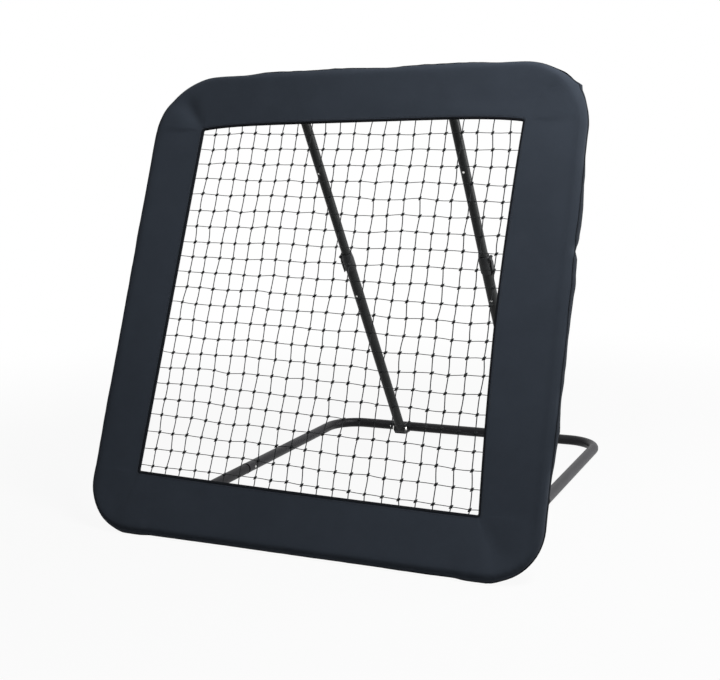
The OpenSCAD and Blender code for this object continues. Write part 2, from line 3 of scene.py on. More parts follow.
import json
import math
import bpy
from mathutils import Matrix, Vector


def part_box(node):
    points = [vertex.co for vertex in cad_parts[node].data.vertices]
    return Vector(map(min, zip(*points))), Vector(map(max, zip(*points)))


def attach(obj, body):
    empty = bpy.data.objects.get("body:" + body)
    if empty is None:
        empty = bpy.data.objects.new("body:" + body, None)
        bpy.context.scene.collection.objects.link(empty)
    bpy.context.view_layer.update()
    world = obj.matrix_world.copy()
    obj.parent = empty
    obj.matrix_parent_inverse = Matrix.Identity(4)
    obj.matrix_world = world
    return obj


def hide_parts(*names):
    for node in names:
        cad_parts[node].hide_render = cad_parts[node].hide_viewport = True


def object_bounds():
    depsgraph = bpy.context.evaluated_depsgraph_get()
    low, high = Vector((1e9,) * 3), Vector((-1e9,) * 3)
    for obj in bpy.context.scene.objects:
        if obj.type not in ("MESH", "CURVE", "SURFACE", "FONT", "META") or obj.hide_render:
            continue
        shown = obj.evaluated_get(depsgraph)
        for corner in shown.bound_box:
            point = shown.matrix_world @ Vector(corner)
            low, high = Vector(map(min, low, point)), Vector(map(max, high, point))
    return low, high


bl_info = {
    "name": "Pitch-back rebounder",
    "version": (1, 0, 0),
    "blender": (4, 5, 0),
    "location": "3D View > Sidebar > Rebounder",
    "description": "Makes the cloth, net, stitching, fasteners and finishes of a pitch-back rebounder",
    "category": "Object",
}

import bmesh
import bpy
import numpy as np
from mathutils import Matrix, Vector, noise

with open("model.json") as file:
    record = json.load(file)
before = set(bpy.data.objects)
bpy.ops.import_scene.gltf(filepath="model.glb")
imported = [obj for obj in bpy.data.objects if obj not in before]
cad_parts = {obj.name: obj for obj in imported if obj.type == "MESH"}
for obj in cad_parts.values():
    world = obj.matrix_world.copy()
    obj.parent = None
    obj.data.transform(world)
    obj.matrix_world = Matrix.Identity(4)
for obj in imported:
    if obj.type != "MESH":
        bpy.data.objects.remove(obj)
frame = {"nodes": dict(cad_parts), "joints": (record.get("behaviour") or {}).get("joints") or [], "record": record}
CAD_BOX = [list(corner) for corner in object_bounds()]
MM = 0.001
SIDES = {"left": -1, "right": 1}


def joint_place(name):
    """The point of a joint's axis at rest, in metres."""
    for joint in frame["joints"]:
        if joint["name"] == name:
            return Vector(joint["pos_m"])
    raise ValueError(f"the frame has no joint named {name}")


HINGE = joint_place("panel_tilt")
UPPER_PIVOT = {side: joint_place(f"upper_stay_{side}") for side in SIDES}
LOWER_PIVOT = {side: joint_place(f"lower_stay_{side}") for side in SIDES}


# ---- sizes and colours -----------------------------------------------------


def length(name, description, default):
    """A size in metres."""
    return bpy.props.FloatProperty(
        name=name, description=description, default=default, unit="LENGTH", precision=4
    )


def turn_angle(name, description, degrees):
    """An angle, given in degrees."""
    return bpy.props.FloatProperty(
        name=name, description=description, default=math.radians(degrees), subtype="ANGLE"
    )


def colour(name, description, default):
    """A plain colour."""
    return bpy.props.FloatVectorProperty(
        name=name, description=description, default=default, subtype="COLOR", size=3, min=0, max=1
    )


class ReboundPanelSizes(bpy.types.PropertyGroup):
    """Sizes of the panel that the cloth and net are cut to."""

    width: length("Width", "Distance between the side tubes' axes", 0.944)
    height: length("Height", "Distance between the bottom and top tubes' axes", 0.976)
    upper_bend: length("Upper bend", "Bend radius of the upper corners", 0.130)
    lower_bend: length("Lower bend", "Bend radius of the lower corners", 0.088)
    border: length("Border", "Width of the sleeve's border, from tube axis to opening", 0.1055)
    lean: turn_angle("Lean", "Lean of the panel from upright", 22)
    leg_spacing: length("Leg spacing", "Distance between the ground legs' axes", 0.738)


class ReboundCloth(bpy.types.PropertyGroup):
    """The sewn sleeve."""

    bead: length("Bead radius", "Outer radius of the sleeve round the tube", 0.0137)
    hem: length("Hem thickness", "Thickness of the sewn layers at the opening", 0.003)
    cloth: length("Cloth", "Thickness of the cloth", 0.0009)
    softness: length("Undulation", "Height of the broad soft waves in the cloth", 0.0018)
    pucker: length("Pucker", "Height of the gathers along the outer seam", 0.0012)
    strap_room: length("Strap room", "How far the sleeve stands out over a hinge strap", 0.0026)
    binding: length("Binding width", "Width of the binding tape at the opening", 0.0042)
    colour: colour("Cloth colour", "Colour of the sleeve's cloth", (0.0240, 0.0295, 0.0388))
    # Partly the tape's own colour and partly painted shade: much darker than the cloth, for the shade along the
    # opening's edge
    binding_colour_and_painted_shade: colour("Binding colour", "Colour of the binding tape", (0.006, 0.007, 0.009))
    thread_colour: colour("Thread colour", "Colour of the sewing thread", (0.020, 0.024, 0.030))


class ReboundNet(bpy.types.PropertyGroup):
    """The knotted net."""

    uprights: bpy.props.IntProperty(name="Uprights", description="Number of upright strands", default=21)
    crossers: bpy.props.IntProperty(name="Crossers", description="Number of level strands", default=22)
    upright_cord: length("Upright cord", "Diameter of the upright strands", 0.0022)
    crosser_cord: length("Level cord", "Diameter of the level strands", 0.0015)
    knot: length("Knot", "Size of a knot", 0.0089)
    slack: length("Slack", "How far the knots wander from a straight grid", 0.0045)
    colour: colour("Cord colour", "Colour of the net's cord", (0.007, 0.008, 0.009))


class ReboundMetal(bpy.types.PropertyGroup):
    """The coated tubes, plated fasteners and moulded pieces."""

    black: colour("Black coat", "Colour of the stays, straps and brackets", (0.0167, 0.0181, 0.0181))
    grey: colour("Grey coat", "Colour of the ground frame's legs", (0.025, 0.025, 0.028))
    # Painted shade: the rail and the front legs take this darker colour in place of the legs' grey
    rail: colour("Rail coat", "Colour of the ground frame's rail", (0.0110, 0.0110, 0.0125))
    zinc: colour("Zinc", "Colour of the plated fasteners", (0.78, 0.78, 0.76))
    nylon: colour("Nylon", "Colour of the collars, levers and plugs", (0.013, 0.014, 0.015))


class ReboundStage(bpy.types.PropertyGroup):
    """Floor, light and camera."""

    camera_place: bpy.props.FloatVectorProperty(
        name="Camera place",
        description="Where the camera stands",
        default=(0.9930, -2.3754, 0.7560),
        subtype="XYZ",
    )
    camera_yaw: turn_angle("Yaw", "Turn to the left from looking along Y", 24.26)
    camera_pitch: turn_angle("Pitch", "Tilt downwards", 9.11)
    camera_roll: turn_angle("Roll", "Roll about the line of sight", -1.04)
    lens: bpy.props.FloatProperty(
        name="Lens", description="Focal length for a 36 mm sensor, in millimetres", default=57.33
    )
    floor_size: length("Floor size", "Side of the square floor", 60.0)


PROPERTY_GROUPS = {
    "rebound_panel": ReboundPanelSizes,
    "rebound_cloth": ReboundCloth,
    "rebound_net": ReboundNet,
    "rebound_metal": ReboundMetal,
    "rebound_stage": ReboundStage,
}


# ---- shader nodes ----------------------------------------------------------


class Value:
    """A number that changes over a surface; arithmetic on it adds Math nodes."""

    def __init__(self, nodes, socket):
        self.nodes = nodes
        self.socket = socket

    def _math(self, operation, first, second=None):
        inputs = {0: first} if second is None else {0: first, 1: second}
        return self.nodes.add("ShaderNodeMath", {"operation": operation}, inputs)

    def __add__(self, other):
        return self._math("ADD", self, other)

    def __sub__(self, other):
        return self._math("SUBTRACT", self, other)

    def __rsub__(self, other):
        return self._math("SUBTRACT", other, self)

    def __mul__(self, other):
        return self._math("MULTIPLY", self, other)

    def __pow__(self, other):
        return self._math("POWER", self, other)

    def __abs__(self):
        return self._math("ABSOLUTE", self)

    __radd__ = __add__
    __rmul__ = __mul__

    def sine(self):
        """The sine of the value as an angle in radians."""
        return self._math("SINE", self)

    def clipped(self):
        """The value held between 0 and 1."""
        return self.nodes.add("ShaderNodeClamp", {}, {"Value": self})

    def ramp(self, low, high):
        """0 below low, 1 above high, and a smooth step between."""
        return self.nodes.add(
            "ShaderNodeMapRange",
            {"interpolation_type": "SMOOTHSTEP"},
            {"Value": self, "From Min": low, "From Max": high},
        )


class NodeTree:
    """The nodes of a material or of the world."""

    def __init__(self, tree):
        self.tree = tree

    def link(self, source, target):
        """Joins a value to a socket."""
        self.tree.links.new(source.socket, target)

    def add(self, kind, settings, inputs, output=0):
        """Adds a node: its settings first, then its sockets' values or links."""
        node = self.tree.nodes.new(kind)
        for name, setting in settings.items():
            setattr(node, name, setting)
        for name, value in inputs.items():
            if isinstance(value, Value):
                self.link(value, node.inputs[name])
            else:
                node.inputs[name].default_value = value
        return Value(self, node.outputs[output])

    def seen(self):
        """1 for the camera's rays, straight or by a mirror or glass, and 0 for all others."""
        outputs = self.add("ShaderNodeLightPath", {}, {}).socket.node.outputs
        kinds = ("Is Camera Ray", "Is Glossy Ray", "Is Transmission Ray")
        straight, mirrored, through = (Value(self, outputs[kind]) for kind in kinds)
        return (straight + mirrored + through).clipped()


class Finish(NodeTree):
    """A material with one principled shader."""

    def __init__(self, name, **constants):
        self.material = bpy.data.materials.new(name)
        self.material.use_nodes = True
        super().__init__(self.material.node_tree)
        self.shader = self.tree.nodes["Principled BSDF"]
        self.output = self.tree.nodes["Material Output"]
        for socket, value in constants.items():
            self.shader.inputs[socket.replace("_", " ")].default_value = value

    def place(self, turn=0.0, scale=(1, 1, 1)):
        """Coordinates in metres, turned about X by an angle."""
        coordinates = self.add("ShaderNodeTexCoord", {}, {}, "Object")
        inputs = {"Vector": coordinates, "Rotation": (turn, 0, 0), "Scale": scale}
        return self.add("ShaderNodeMapping", {}, inputs)

    def axes(self, place):
        """The three coordinates of a place, as values."""
        outputs = self.add("ShaderNodeSeparateXYZ", {}, {"Vector": place}).socket.node.outputs
        return [Value(self, outputs[axis]) for axis in "XYZ"]

    def noise(self, place, scale, detail=2.0, roughness=0.5):
        """A cloudy value about 0.5; scale is in lumps per metre."""
        inputs = {"Vector": place, "Scale": scale, "Detail": detail, "Roughness": roughness}
        return self.add("ShaderNodeTexNoise", {}, inputs, "Fac")

    def mix(self, factor, first, second):
        """A colour between two, by a factor from 0 to 1."""
        return self.add("ShaderNodeMix", {"data_type": "RGBA"}, {0: factor, 6: first, 7: second}, 2)

    def shade(self, socket, value):
        """Feeds a value or colour that changes over the surface to the shader."""
        self.link(value, self.shader.inputs[socket])

    def bump(self, height, distance, strength):
        """Raises the surface by a height, a distance in metres for each unit of it."""
        inputs = {"Height": height, "Distance": distance, "Strength": strength}
        self.shade("Normal", self.add("ShaderNodeBump", {}, inputs))


def rgba(shade, gain=1.0):
    """A colour made darker or lighter, with full cover."""
    return tuple(min(1.0, channel * gain) for channel in shade) + (1.0,)


def darker(shade, gain):
    """A colour with each channel multiplied by a gain."""
    return tuple(channel * gain for channel in shade)


# ---- finishes --------------------------------------------------------------

# Distances from the middle, in metres, between which painted shade darkens the cloth
# towards its side edges, and between which the ground frame's coat changes from the
# rail's painted shade to the legs' colour
SIDE_PAINTED_SHADE = (0.455, 0.482)
RAIL_PAINTED_SHADE = (0.340, 0.372)
# Distance between threads of the cloth or ribs of the tape, and length of the cord's lay
THREAD_PITCH = 0.0011
CORD_LAY = 0.0028
LINT = (0.25, 0.26, 0.28, 1)
DUST = (0.12, 0.12, 0.12, 1)


def woven_cloth(name, shade, lean, sheen=0.04):
    """Plain-weave polyester: crossing threads, soft fading, scuffs and painted shade towards the side edges."""
    finish = Finish(name, Sheen_Weight=sheen, Sheen_Roughness=0.45, IOR=1.45, Specular_IOR_Level=0.05)
    place = finish.place(turn=lean)
    across, _, up = finish.axes(place)
    turns = math.pi / THREAD_PITCH
    warp = abs((across * turns).sine())
    weft = abs((up * turns).sine())
    over = ((across * turns).sine() * (up * turns).sine()).ramp(-0.35, 0.35)
    weave = warp * over + weft * (1 - over)
    broad = finish.noise(place, 3.2, 3)
    cloudy = finish.noise(place, 17, 4, 0.6)
    lint = finish.noise(place, 900, 2).ramp(0.66, 0.80)
    fade = (broad * 0.65 + cloudy * 0.35).ramp(0.28, 0.74)
    body = finish.mix(fade, rgba(shade, 0.87), rgba(shade, 1.14))
    # Painted shade: the cloth is darkened towards the panel's left and right edges, over the outer bead
    body = finish.mix(abs(across).ramp(*SIDE_PAINTED_SHADE) * 0.45, body, rgba(shade, 0.35))
    threads = finish.mix(weave * 0.32, body, rgba(shade, 1.9))
    finish.shade("Base Color", finish.mix(lint * 0.10, threads, LINT))
    finish.shade("Roughness", (0.86 - weave * 0.12 - fade * 0.06).clipped())
    creases = finish.noise(place, 42, 3, 0.55)
    finish.bump(weave * 0.35 + creases * 1.6, 0.0008, 0.35)
    return finish.material


def webbing(name, shade, lean):
    """Binding tape: close ribs that run across the tape."""
    finish = Finish(name, Sheen_Weight=0.03, Sheen_Roughness=0.5, Specular_IOR_Level=0.05)
    place = finish.place(turn=lean)
    across, _, up = finish.axes(place)
    ribs = abs(((across + up) * (math.pi / THREAD_PITCH)).sine())
    fuzz = finish.noise(place, 300, 3)
    finish.shade("Base Color", finish.mix(ribs * 0.6 + fuzz * 0.3, rgba(shade, 0.7), rgba(shade, 1.5)))
    finish.shade("Roughness", (0.78 + fuzz * 0.18).clipped())
    finish.bump(ribs + fuzz * 0.5, 0.0004, 0.5)
    return finish.material


def twisted_cord(name, shade, lean):
    """Net cord: slanting strands that follow either direction of the net."""
    finish = Finish(name, Sheen_Weight=0.03, Specular_IOR_Level=0.1)
    place = finish.place(turn=lean)
    across, _, up = finish.axes(place)
    lay = abs(((across * 0.8 + up) * (math.pi / CORD_LAY)).sine())
    fibre = finish.noise(place, 1400, 3, 0.7)
    dust = finish.noise(place, 24, 3).ramp(0.45, 0.75)
    base = finish.mix(lay * 0.5 + fibre * 0.3, rgba(shade, 0.55), rgba(shade, 1.7))
    finish.shade("Base Color", finish.mix(dust * 0.18, base, DUST))
    finish.shade("Roughness", (0.62 + fibre * 0.25).clipped())
    finish.bump(lay + fibre * 0.4, 0.0005, 0.7)
    return finish.material


def powder_coat(name, shade, roughness, rail_painted_shade=None):
    """Powder-coated steel: fine orange peel, hand marks and a few scuffs.

    With a rail shade, the coat is that dark between the legs: painted shade, which fades
    along their bends and also darkens the legs' inner sides.
    """
    finish = Finish(name, IOR=1.5, Coat_Roughness=0.25, Specular_IOR_Level=0.12)
    place = finish.place()
    peel = finish.noise(place, 1300, 2)
    marks = finish.noise(place, 11, 4, 0.6)
    scuffs = finish.noise(finish.place(scale=(1, 0.12, 1)), 220, 3, 0.7).ramp(0.68, 0.80)
    base = finish.mix(marks.ramp(0.3, 0.7), rgba(shade, 0.82), rgba(shade, 1.18))
    if rail_painted_shade is not None:
        across = finish.axes(place)[0]
        # Painted shade: darker between the legs and on the legs' inner sides, by distance from the middle
        base = finish.mix(abs(across).ramp(*RAIL_PAINTED_SHADE), rgba(rail_painted_shade), base)
    finish.shade("Base Color", finish.mix(scuffs * 0.35, base, rgba(shade, 2.4)))
    finish.shade("Roughness", (roughness - 0.06 + marks * 0.12 + scuffs * 0.18).clipped())
    finish.shade("Coat Weight", (0.03 - scuffs * 0.03).clipped())
    finish.bump(peel, 0.0002, 0.35)
    return finish.material


def zinc_plate(name, shade):
    """Bright zinc plating with fine turning marks and a dull bloom."""
    finish = Finish(name, Metallic=1.0)
    place = finish.place()
    marks = finish.noise(finish.place(scale=(1, 9, 9)), 260, 3, 0.6)
    bloom = finish.noise(place, 160, 3).ramp(0.45, 0.75)
    finish.shade("Base Color", finish.mix(bloom, rgba(shade), rgba(shade, 0.72)))
    finish.shade("Roughness", (0.20 + bloom * 0.22 + marks * 0.08).clipped())
    finish.bump(marks, 0.0002, 0.25)
    return finish.material


def moulded_nylon(name, shade, gloss=0.2):
    """Moulded nylon with a fine spark-eroded grain and rubbed edges."""
    finish = Finish(name, IOR=1.53, Specular_IOR_Level=gloss)
    place = finish.place()
    grain = finish.noise(place, 2200, 2)
    rub = finish.noise(place, 60, 4, 0.65).ramp(0.5, 0.8)
    finish.shade("Base Color", finish.mix(rub, rgba(shade), rgba(shade, 2.4)))
    finish.shade("Roughness", (0.46 + grain * 0.16 - rub * 0.12).clipped())
    finish.bump(grain, 0.0002, 0.4)
    return finish.material


# ---- mesh making -----------------------------------------------------------


def panel_matrix(panel):
    """From panel coordinates (across, out of the back, up) to the object's frame."""
    return Matrix.Translation(HINGE) @ Matrix.Rotation(-panel.lean, 4, "X")


def mark_sharp(piece, angle):
    """Keeps the edges that bend by more than an angle crisp."""
    editable = bmesh.new()
    editable.from_mesh(piece.data)
    for edge in editable.edges:
        edge.smooth = len(edge.link_faces) == 2 and edge.calc_face_angle(0.0) < angle
    editable.to_mesh(piece.data)
    editable.free()


def apply_modifier(piece, kind, **settings):
    """Changes a piece's mesh for good by one modifier."""
    modifier = piece.modifiers.new(kind.lower(), kind)
    for name, setting in settings.items():
        setattr(modifier, name, setting)
    with bpy.context.temp_override(object=piece, active_object=piece, selected_objects=[piece]):
        bpy.ops.object.modifier_apply(modifier=modifier.name)


class Shape:
    """Points and faces that grow as parts are added."""

    def __init__(self):
        self.points = []
        self.faces = []
        self.count = 0

    def add(self, points, faces):
        """Adds one part, whose faces count its own points from 0."""
        points = np.asarray(points, float).reshape(-1, 3)
        self.faces.extend([index + self.count for index in face] for face in faces)
        self.points.append(points)
        self.count += len(points)

    def piece(self, name, material, body, slot, matrix=None, smooth=True):
        """The parts as one mesh piece that rides on a body."""
        mesh = bpy.data.meshes.new(name)
        mesh.from_pydata(np.concatenate(self.points).tolist(), [], self.faces)
        mesh.validate()
        if matrix is not None:
            mesh.transform(matrix)
        editable = bmesh.new()
        editable.from_mesh(mesh)
        bmesh.ops.recalc_face_normals(editable, faces=editable.faces)
        editable.to_mesh(mesh)
        editable.free()
        if smooth:
            mesh.shade_smooth()
        else:
            mesh.shade_flat()
        mesh.materials.append(material)
        piece = bpy.data.objects.new(name, mesh)
        bpy.context.scene.collection.objects.link(piece)
        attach(piece, body)
        return piece


def grid_faces(rows, columns, wrap_rows, wrap_columns):
    """Quads of a grid of rows by columns, closed round where asked."""
    faces = []
    for row in range(rows if wrap_rows else rows - 1):
        following = (row + 1) % rows
        for column in range(columns if wrap_columns else columns - 1):
            beside = (column + 1) % columns
            near, far = row * columns, following * columns
            faces.append([near + column, near + beside, far + beside, far + column])
    return faces


def closed_tube_faces(rows, columns):
    """Quads between rings of points, and a face over each end."""
    faces = grid_faces(rows, columns, False, True)
    faces.append(list(range(columns))[::-1])
    faces.append([(rows - 1) * columns + index for index in range(columns)])
    return faces


def tube_rings(path, radius, sides, sideways):
    """Rings round a path; sideways is a direction that the path is never parallel to."""
    path = np.asarray(path, float)
    along = np.gradient(path, axis=0)
    along /= np.linalg.norm(along, axis=1)[:, None]
    first = np.cross(along, sideways)
    first /= np.linalg.norm(first, axis=1)[:, None]
    second = np.cross(along, first)
    turn = np.arange(sides) * 2 * math.pi / sides
    radii = np.broadcast_to(np.asarray(radius, float), (len(path),))[:, None, None]
    cosine, sine = np.cos(turn)[None, :, None], np.sin(turn)[None, :, None]
    return path[:, None, :] + radii * (first[:, None, :] * cosine + second[:, None, :] * sine)


def add_tube(shape, path, radius, sides, sideways=(0, 1, 0)):
    """An open-ended path made a tube with closed ends."""
    rings = tube_rings(path, radius, sides, sideways)
    shape.add(rings, closed_tube_faces(len(rings), sides))


def add_lathe(shape, profile, sides, matrix):
    """A profile of (radius, height) turned about Z, closed at both ends."""
    points = []
    for radius, height in profile:
        for turn in np.arange(sides) * 2 * math.pi / sides:
            points.append(matrix @ Vector((radius * math.cos(turn), radius * math.sin(turn), height)))
    shape.add(points, closed_tube_faces(len(profile), sides))


def add_prism(shape, outline, low, high, matrix):
    """A flat outline of (x, y) raised from low to high."""
    points = [matrix @ Vector((x, y, z)) for z in (low, high) for x, y in outline]
    shape.add(points, closed_tube_faces(2, len(outline)))


# ---- the sleeve's surface --------------------------------------------------

# The opening as sewn, corner by corner from the lower right: how far the corner lies
# from an even border, across and up, and then how far the side that follows bows out
# of line and how square that bow is
OPENING_SEWN = (
    ((-0.0055, -0.0050), -0.0115, 1.7),
    ((-0.0080, -0.0045), 0.0085, 6.0),
    ((0.0025, -0.0045), 0.0, 2.0),
    ((-0.0105, 0.0060), 0.0015, 2.0),
)
# How far the outer seam stands off the tube, at places on the panel's outline given
# across and up; between them it changes smoothly
SEAM_STAND = (
    ((0.472, 0.170), 0.0),
    ((0.472, 0.222), 0.0030),
    ((0.472, 0.266), 0.0058),
    ((0.472, 0.317), 0.0026),
    ((0.472, 0.390), 0.0040),
    ((0.472, 0.451), 0.0034),
    ((0.472, 0.528), 0.0064),
    ((0.472, 0.585), 0.0042),
    ((0.472, 0.603), 0.0),
    ((0.472, 0.628), 0.0042),
    ((0.472, 0.687), 0.0056),
    ((0.472, 0.738), 0.0030),
    ((0.472, 0.800), 0.0),
    ((0.466, 0.885), 0.0012),
    ((0.452, 0.912), 0.0040),
    ((0.445, 0.922), 0.0078),
    ((0.436, 0.933), 0.0036),
    ((0.400, 0.960), 0.0),
    ((0.300, 0.976), 0.0),
    ((0.233, 0.976), 0.0024),
    ((0.112, 0.976), 0.0027),
    ((0.060, 0.976), 0.0006),
    ((-0.049, 0.976), 0.0050),
    ((-0.204, 0.976), 0.0042),
    ((-0.285, 0.976), 0.0),
    ((-0.472, 0.500), 0.0),
    ((-0.068, 0.0), 0.0),
    ((0.100, 0.0), 0.0),
    ((0.274, 0.0), 0.0009),
    ((0.339, 0.0), 0.0),
)
# Where the tape over the outer seam begins and ends, as angles round the tube; where
# the seam stands off, it begins farther forward, in radians per metre of stand-off up to
# a limit, and at the hinge straps it ends farther forward, clear of their swing
SEAM_ANGLE = math.radians(4)
SEAM_BACK = math.radians(-40)
SEAM_CLEAR = math.radians(-18)
SEAM_FORWARD = 110
SEAM_FORWARD_LIMIT = 0.0048
# How deep the cloth folds in from each corner of the opening, from the lower right, and
# how far the folds reach
CORNER_FOLDS = (0.0014, 0.0020, 0.0048, 0.0016)
FOLD_REACH = 0.15


class SleeveForm:
    """The sleeve as stations round the opening, each with a section across the border."""

    # Distance between stations along a side, and steps round a corner of the opening,
    # across the border and round the tube
    SIDE_STEP = 0.008
    CORNER_STEPS = 22
    WEB_STEPS = 15
    BEAD_STEPS = 18
    CORNER_ROUND = 0.003
    # More than the border's width anywhere
    FAR = 0.3
    # Over a hinge strap: half the width that stands out fully, and the slope beside it
    STRAP_FLAT = 0.0170
    STRAP_RAMP = 0.0300
    # How loose the cloth is across the border: the share of the way at which that starts,
    # the share over which it grows, and what is lost by the tube and is left round it
    LOOSE_START = 0.1
    LOOSE_RAMP = 0.25
    LOOSE_LOSS = 0.6
    LOOSE_ROUND = 0.3
    # Share of the way across at which the seam's gathers start
    GATHER_START = 0.80
    # Waves along the outer seam: a wave's length in metres, and the draw of the noise
    STAND_WAVE = (0.024, 4.4)
    BULGE_WAVE = (0.160, 5.3)
    GATHER_WAVE = (0.030, 3.1)
    CRINKLE_WAVE = (0.013, 8.7)

    def __init__(self, panel, cloth):
        self.panel = panel
        self.cloth = cloth
        self.half_w = panel.width / 2
        self.height = panel.height
        self.inner, self.outer, self.outward = self._stations()
        steps = np.linalg.norm(np.diff(self.outer, axis=0, append=self.outer[:1]), axis=1)
        self.run = np.concatenate([[0], np.cumsum(steps)[:-1]])
        self.perimeter = steps.sum()
        self.stand = self._seam_stand()
        self.radius = self._bead_radius()

    def outline_distance(self, x, z):
        """Distance outside the tube's axis line; it is negative inside."""
        bend = np.where(z > self.height / 2, self.panel.upper_bend, self.panel.lower_bend)
        over_x = np.abs(x) - (self.half_w - bend)
        over_z = np.abs(z - self.height / 2) - (self.height / 2 - bend)
        outside = np.hypot(np.maximum(over_x, 0), np.maximum(over_z, 0))
        return outside + np.minimum(np.maximum(over_x, over_z), 0) - bend

    def outline_normal(self, points):
        """Unit vectors that point straight out of the outline."""
        step = 1e-5
        sides = []
        for shift in (np.array([step, 0]), np.array([0, step])):
            ahead, behind = (self.outline_distance(*place.T) for place in (points + shift, points - shift))
            sides.append(ahead - behind)
        normal = np.stack(sides, axis=1)
        return normal / np.linalg.norm(normal, axis=1)[:, None]

    def opening_corners(self):
        """Corners of the sewn opening, from the lower right and up its right side."""
        half, low = self.half_w - self.panel.border, self.panel.border
        high = self.height - self.panel.border
        even = ((half, low), (half, high), (-half, high), (-half, low))
        return [np.array(place) + np.array(pull) for place, (pull, _, _) in zip(even, OPENING_SEWN)]

    def side_bow(self, index, share):
        """How far the side after a corner bows out, at a share of the way along it."""
        _, bow, squareness = OPENING_SEWN[index]
        return bow * (1 - abs(2 * share - 1) ** squareness)

    def _stations(self):
        """Points round the opening, and the points across from them on the tube's axis.

        With them come the directions straight out of the outline.
        """
        corners = self.opening_corners()
        rounding = self.CORNER_ROUND
        inner, away = [], []
        for index, corner in enumerate(corners):
            following = corners[(index + 1) % 4]
            start = 90 * (index - 1)
            angles = np.radians(np.linspace(start, start + 90, self.CORNER_STEPS + 1))
            turned = np.stack([np.cos(angles), np.sin(angles)], axis=1)
            back = -np.sign(corner - np.array([0, self.height / 2])) * rounding
            inner.extend(corner + back + rounding * turned)
            away.extend(turned)
            facing = turned[-1]
            ahead = np.array([-facing[1], facing[0]])
            begin, finish = corner + ahead * rounding, following - ahead * rounding
            count = int(np.linalg.norm(finish - begin) / self.SIDE_STEP)
            for part in range(1, count):
                share = part / count
                inner.append(begin + (finish - begin) * share + facing * self.side_bow(index, share))
                away.append(facing)
        inner, away = np.array(inner), np.array(away)
        near, far = np.zeros(len(inner)), np.full(len(inner), self.FAR)
        for _ in range(40):
            middle = (near + far) / 2
            point = inner + away * middle[:, None]
            inside = self.outline_distance(point[:, 0], point[:, 1]) < 0
            near = np.where(inside, middle, near)
            far = np.where(inside, far, middle)
        outer = inner + away * far[:, None]
        return inner, outer, self.outline_normal(outer)

    def _seam_stand(self):
        """How far the outer seam stands off at each station."""
        anchors = []
        for place, stand in SEAM_STAND:
            nearest = np.argmin(np.linalg.norm(self.outer - np.array(place), axis=1))
            anchors.append((self.run[nearest], stand))
        anchors.sort()
        runs = np.array([run for run, _ in anchors])
        stands = np.array([stand for _, stand in anchors])
        runs = np.concatenate([[runs[-1] - self.perimeter], runs, [runs[0] + self.perimeter]])
        stands = np.concatenate([stands[-1:], stands, stands[:1]])
        after = np.clip(np.searchsorted(runs, self.run, side="right"), 1, len(runs) - 1)
        share = smooth_step((self.run - runs[after - 1]) / np.maximum(runs[after] - runs[after - 1], 1e-9))
        stand = stands[after - 1] * (1 - share) + stands[after] * share
        crimp = np.array([self.wave(station, *self.STAND_WAVE) for station in range(len(self.run))])
        return stand * (1 + 0.25 * crimp)

    def wave(self, station, size, draw):
        """A smooth value from -1 to 1 that goes round the whole seam without a step."""
        turn = 2 * math.pi * self.run[station] / self.perimeter
        radius = self.perimeter / (2 * math.pi * size)
        return noise.noise(Vector((radius * math.cos(turn), radius * math.sin(turn), draw)))

    def seam_angle(self, station):
        """Where the front edge of the seam's tape lies, round the tube."""
        return SEAM_ANGLE + SEAM_FORWARD * min(self.stand[station], SEAM_FORWARD_LIMIT)

    def seam_back(self, station):
        """Where the back edge of the seam's tape lies: clear of the straps' swing."""
        lifted = (self.radius[station] - self.cloth.bead) / self.cloth.strap_room
        return SEAM_BACK + (SEAM_CLEAR - SEAM_BACK) * min(1.0, 1.5 * lifted)

    def gather(self, station):
        """Height of the gathers in the cloth along the outer seam."""
        fine = self.wave(station, *self.GATHER_WAVE) + 0.6 * self.wave(station, *self.CRINKLE_WAVE)
        bulge = self.wave(station, *self.BULGE_WAVE)
        loose = 0.6 + self.stand[station] / 0.008
        return self.cloth.pucker * loose * max(0.0, 0.5 + fine * 0.6 + bulge * 0.6)

    def _bead_radius(self):
        """Radius of the sleeve round the tube, which grows over the hinge straps."""
        off = np.abs(np.abs(self.outer[:, 0]) - self.panel.leg_spacing / 2)
        share = np.clip((self.STRAP_FLAT + self.STRAP_RAMP - off) / self.STRAP_RAMP, 0, 1)
        share = smooth_step(share) * (self.outer[:, 1] < self.panel.lower_bend / 4)
        return self.cloth.bead + self.cloth.strap_room * share

    def web(self, station, share, front):
        """A point of the border, from the opening (share 0) to the tube (share 1)."""
        flat = self.inner[station] + (self.outer[station] - self.inner[station]) * share
        half_hem = self.cloth.hem / 2
        depth = half_hem + (self.radius[station] - half_hem) * share
        return np.array([flat[0], -depth if front else depth, flat[1]])

    def bead_point(self, station, angle, proud=0.0):
        """A point round the tube: 90 degrees is the front, 0 the outer edge."""
        radius = self.radius[station] + proud
        out = radius * math.cos(angle) + self.stand[station] * max(0.0, math.cos(angle)) ** 1.5
        flat = self.outer[station] + self.outward[station] * out
        return np.array([flat[0], -radius * math.sin(angle), flat[1]])

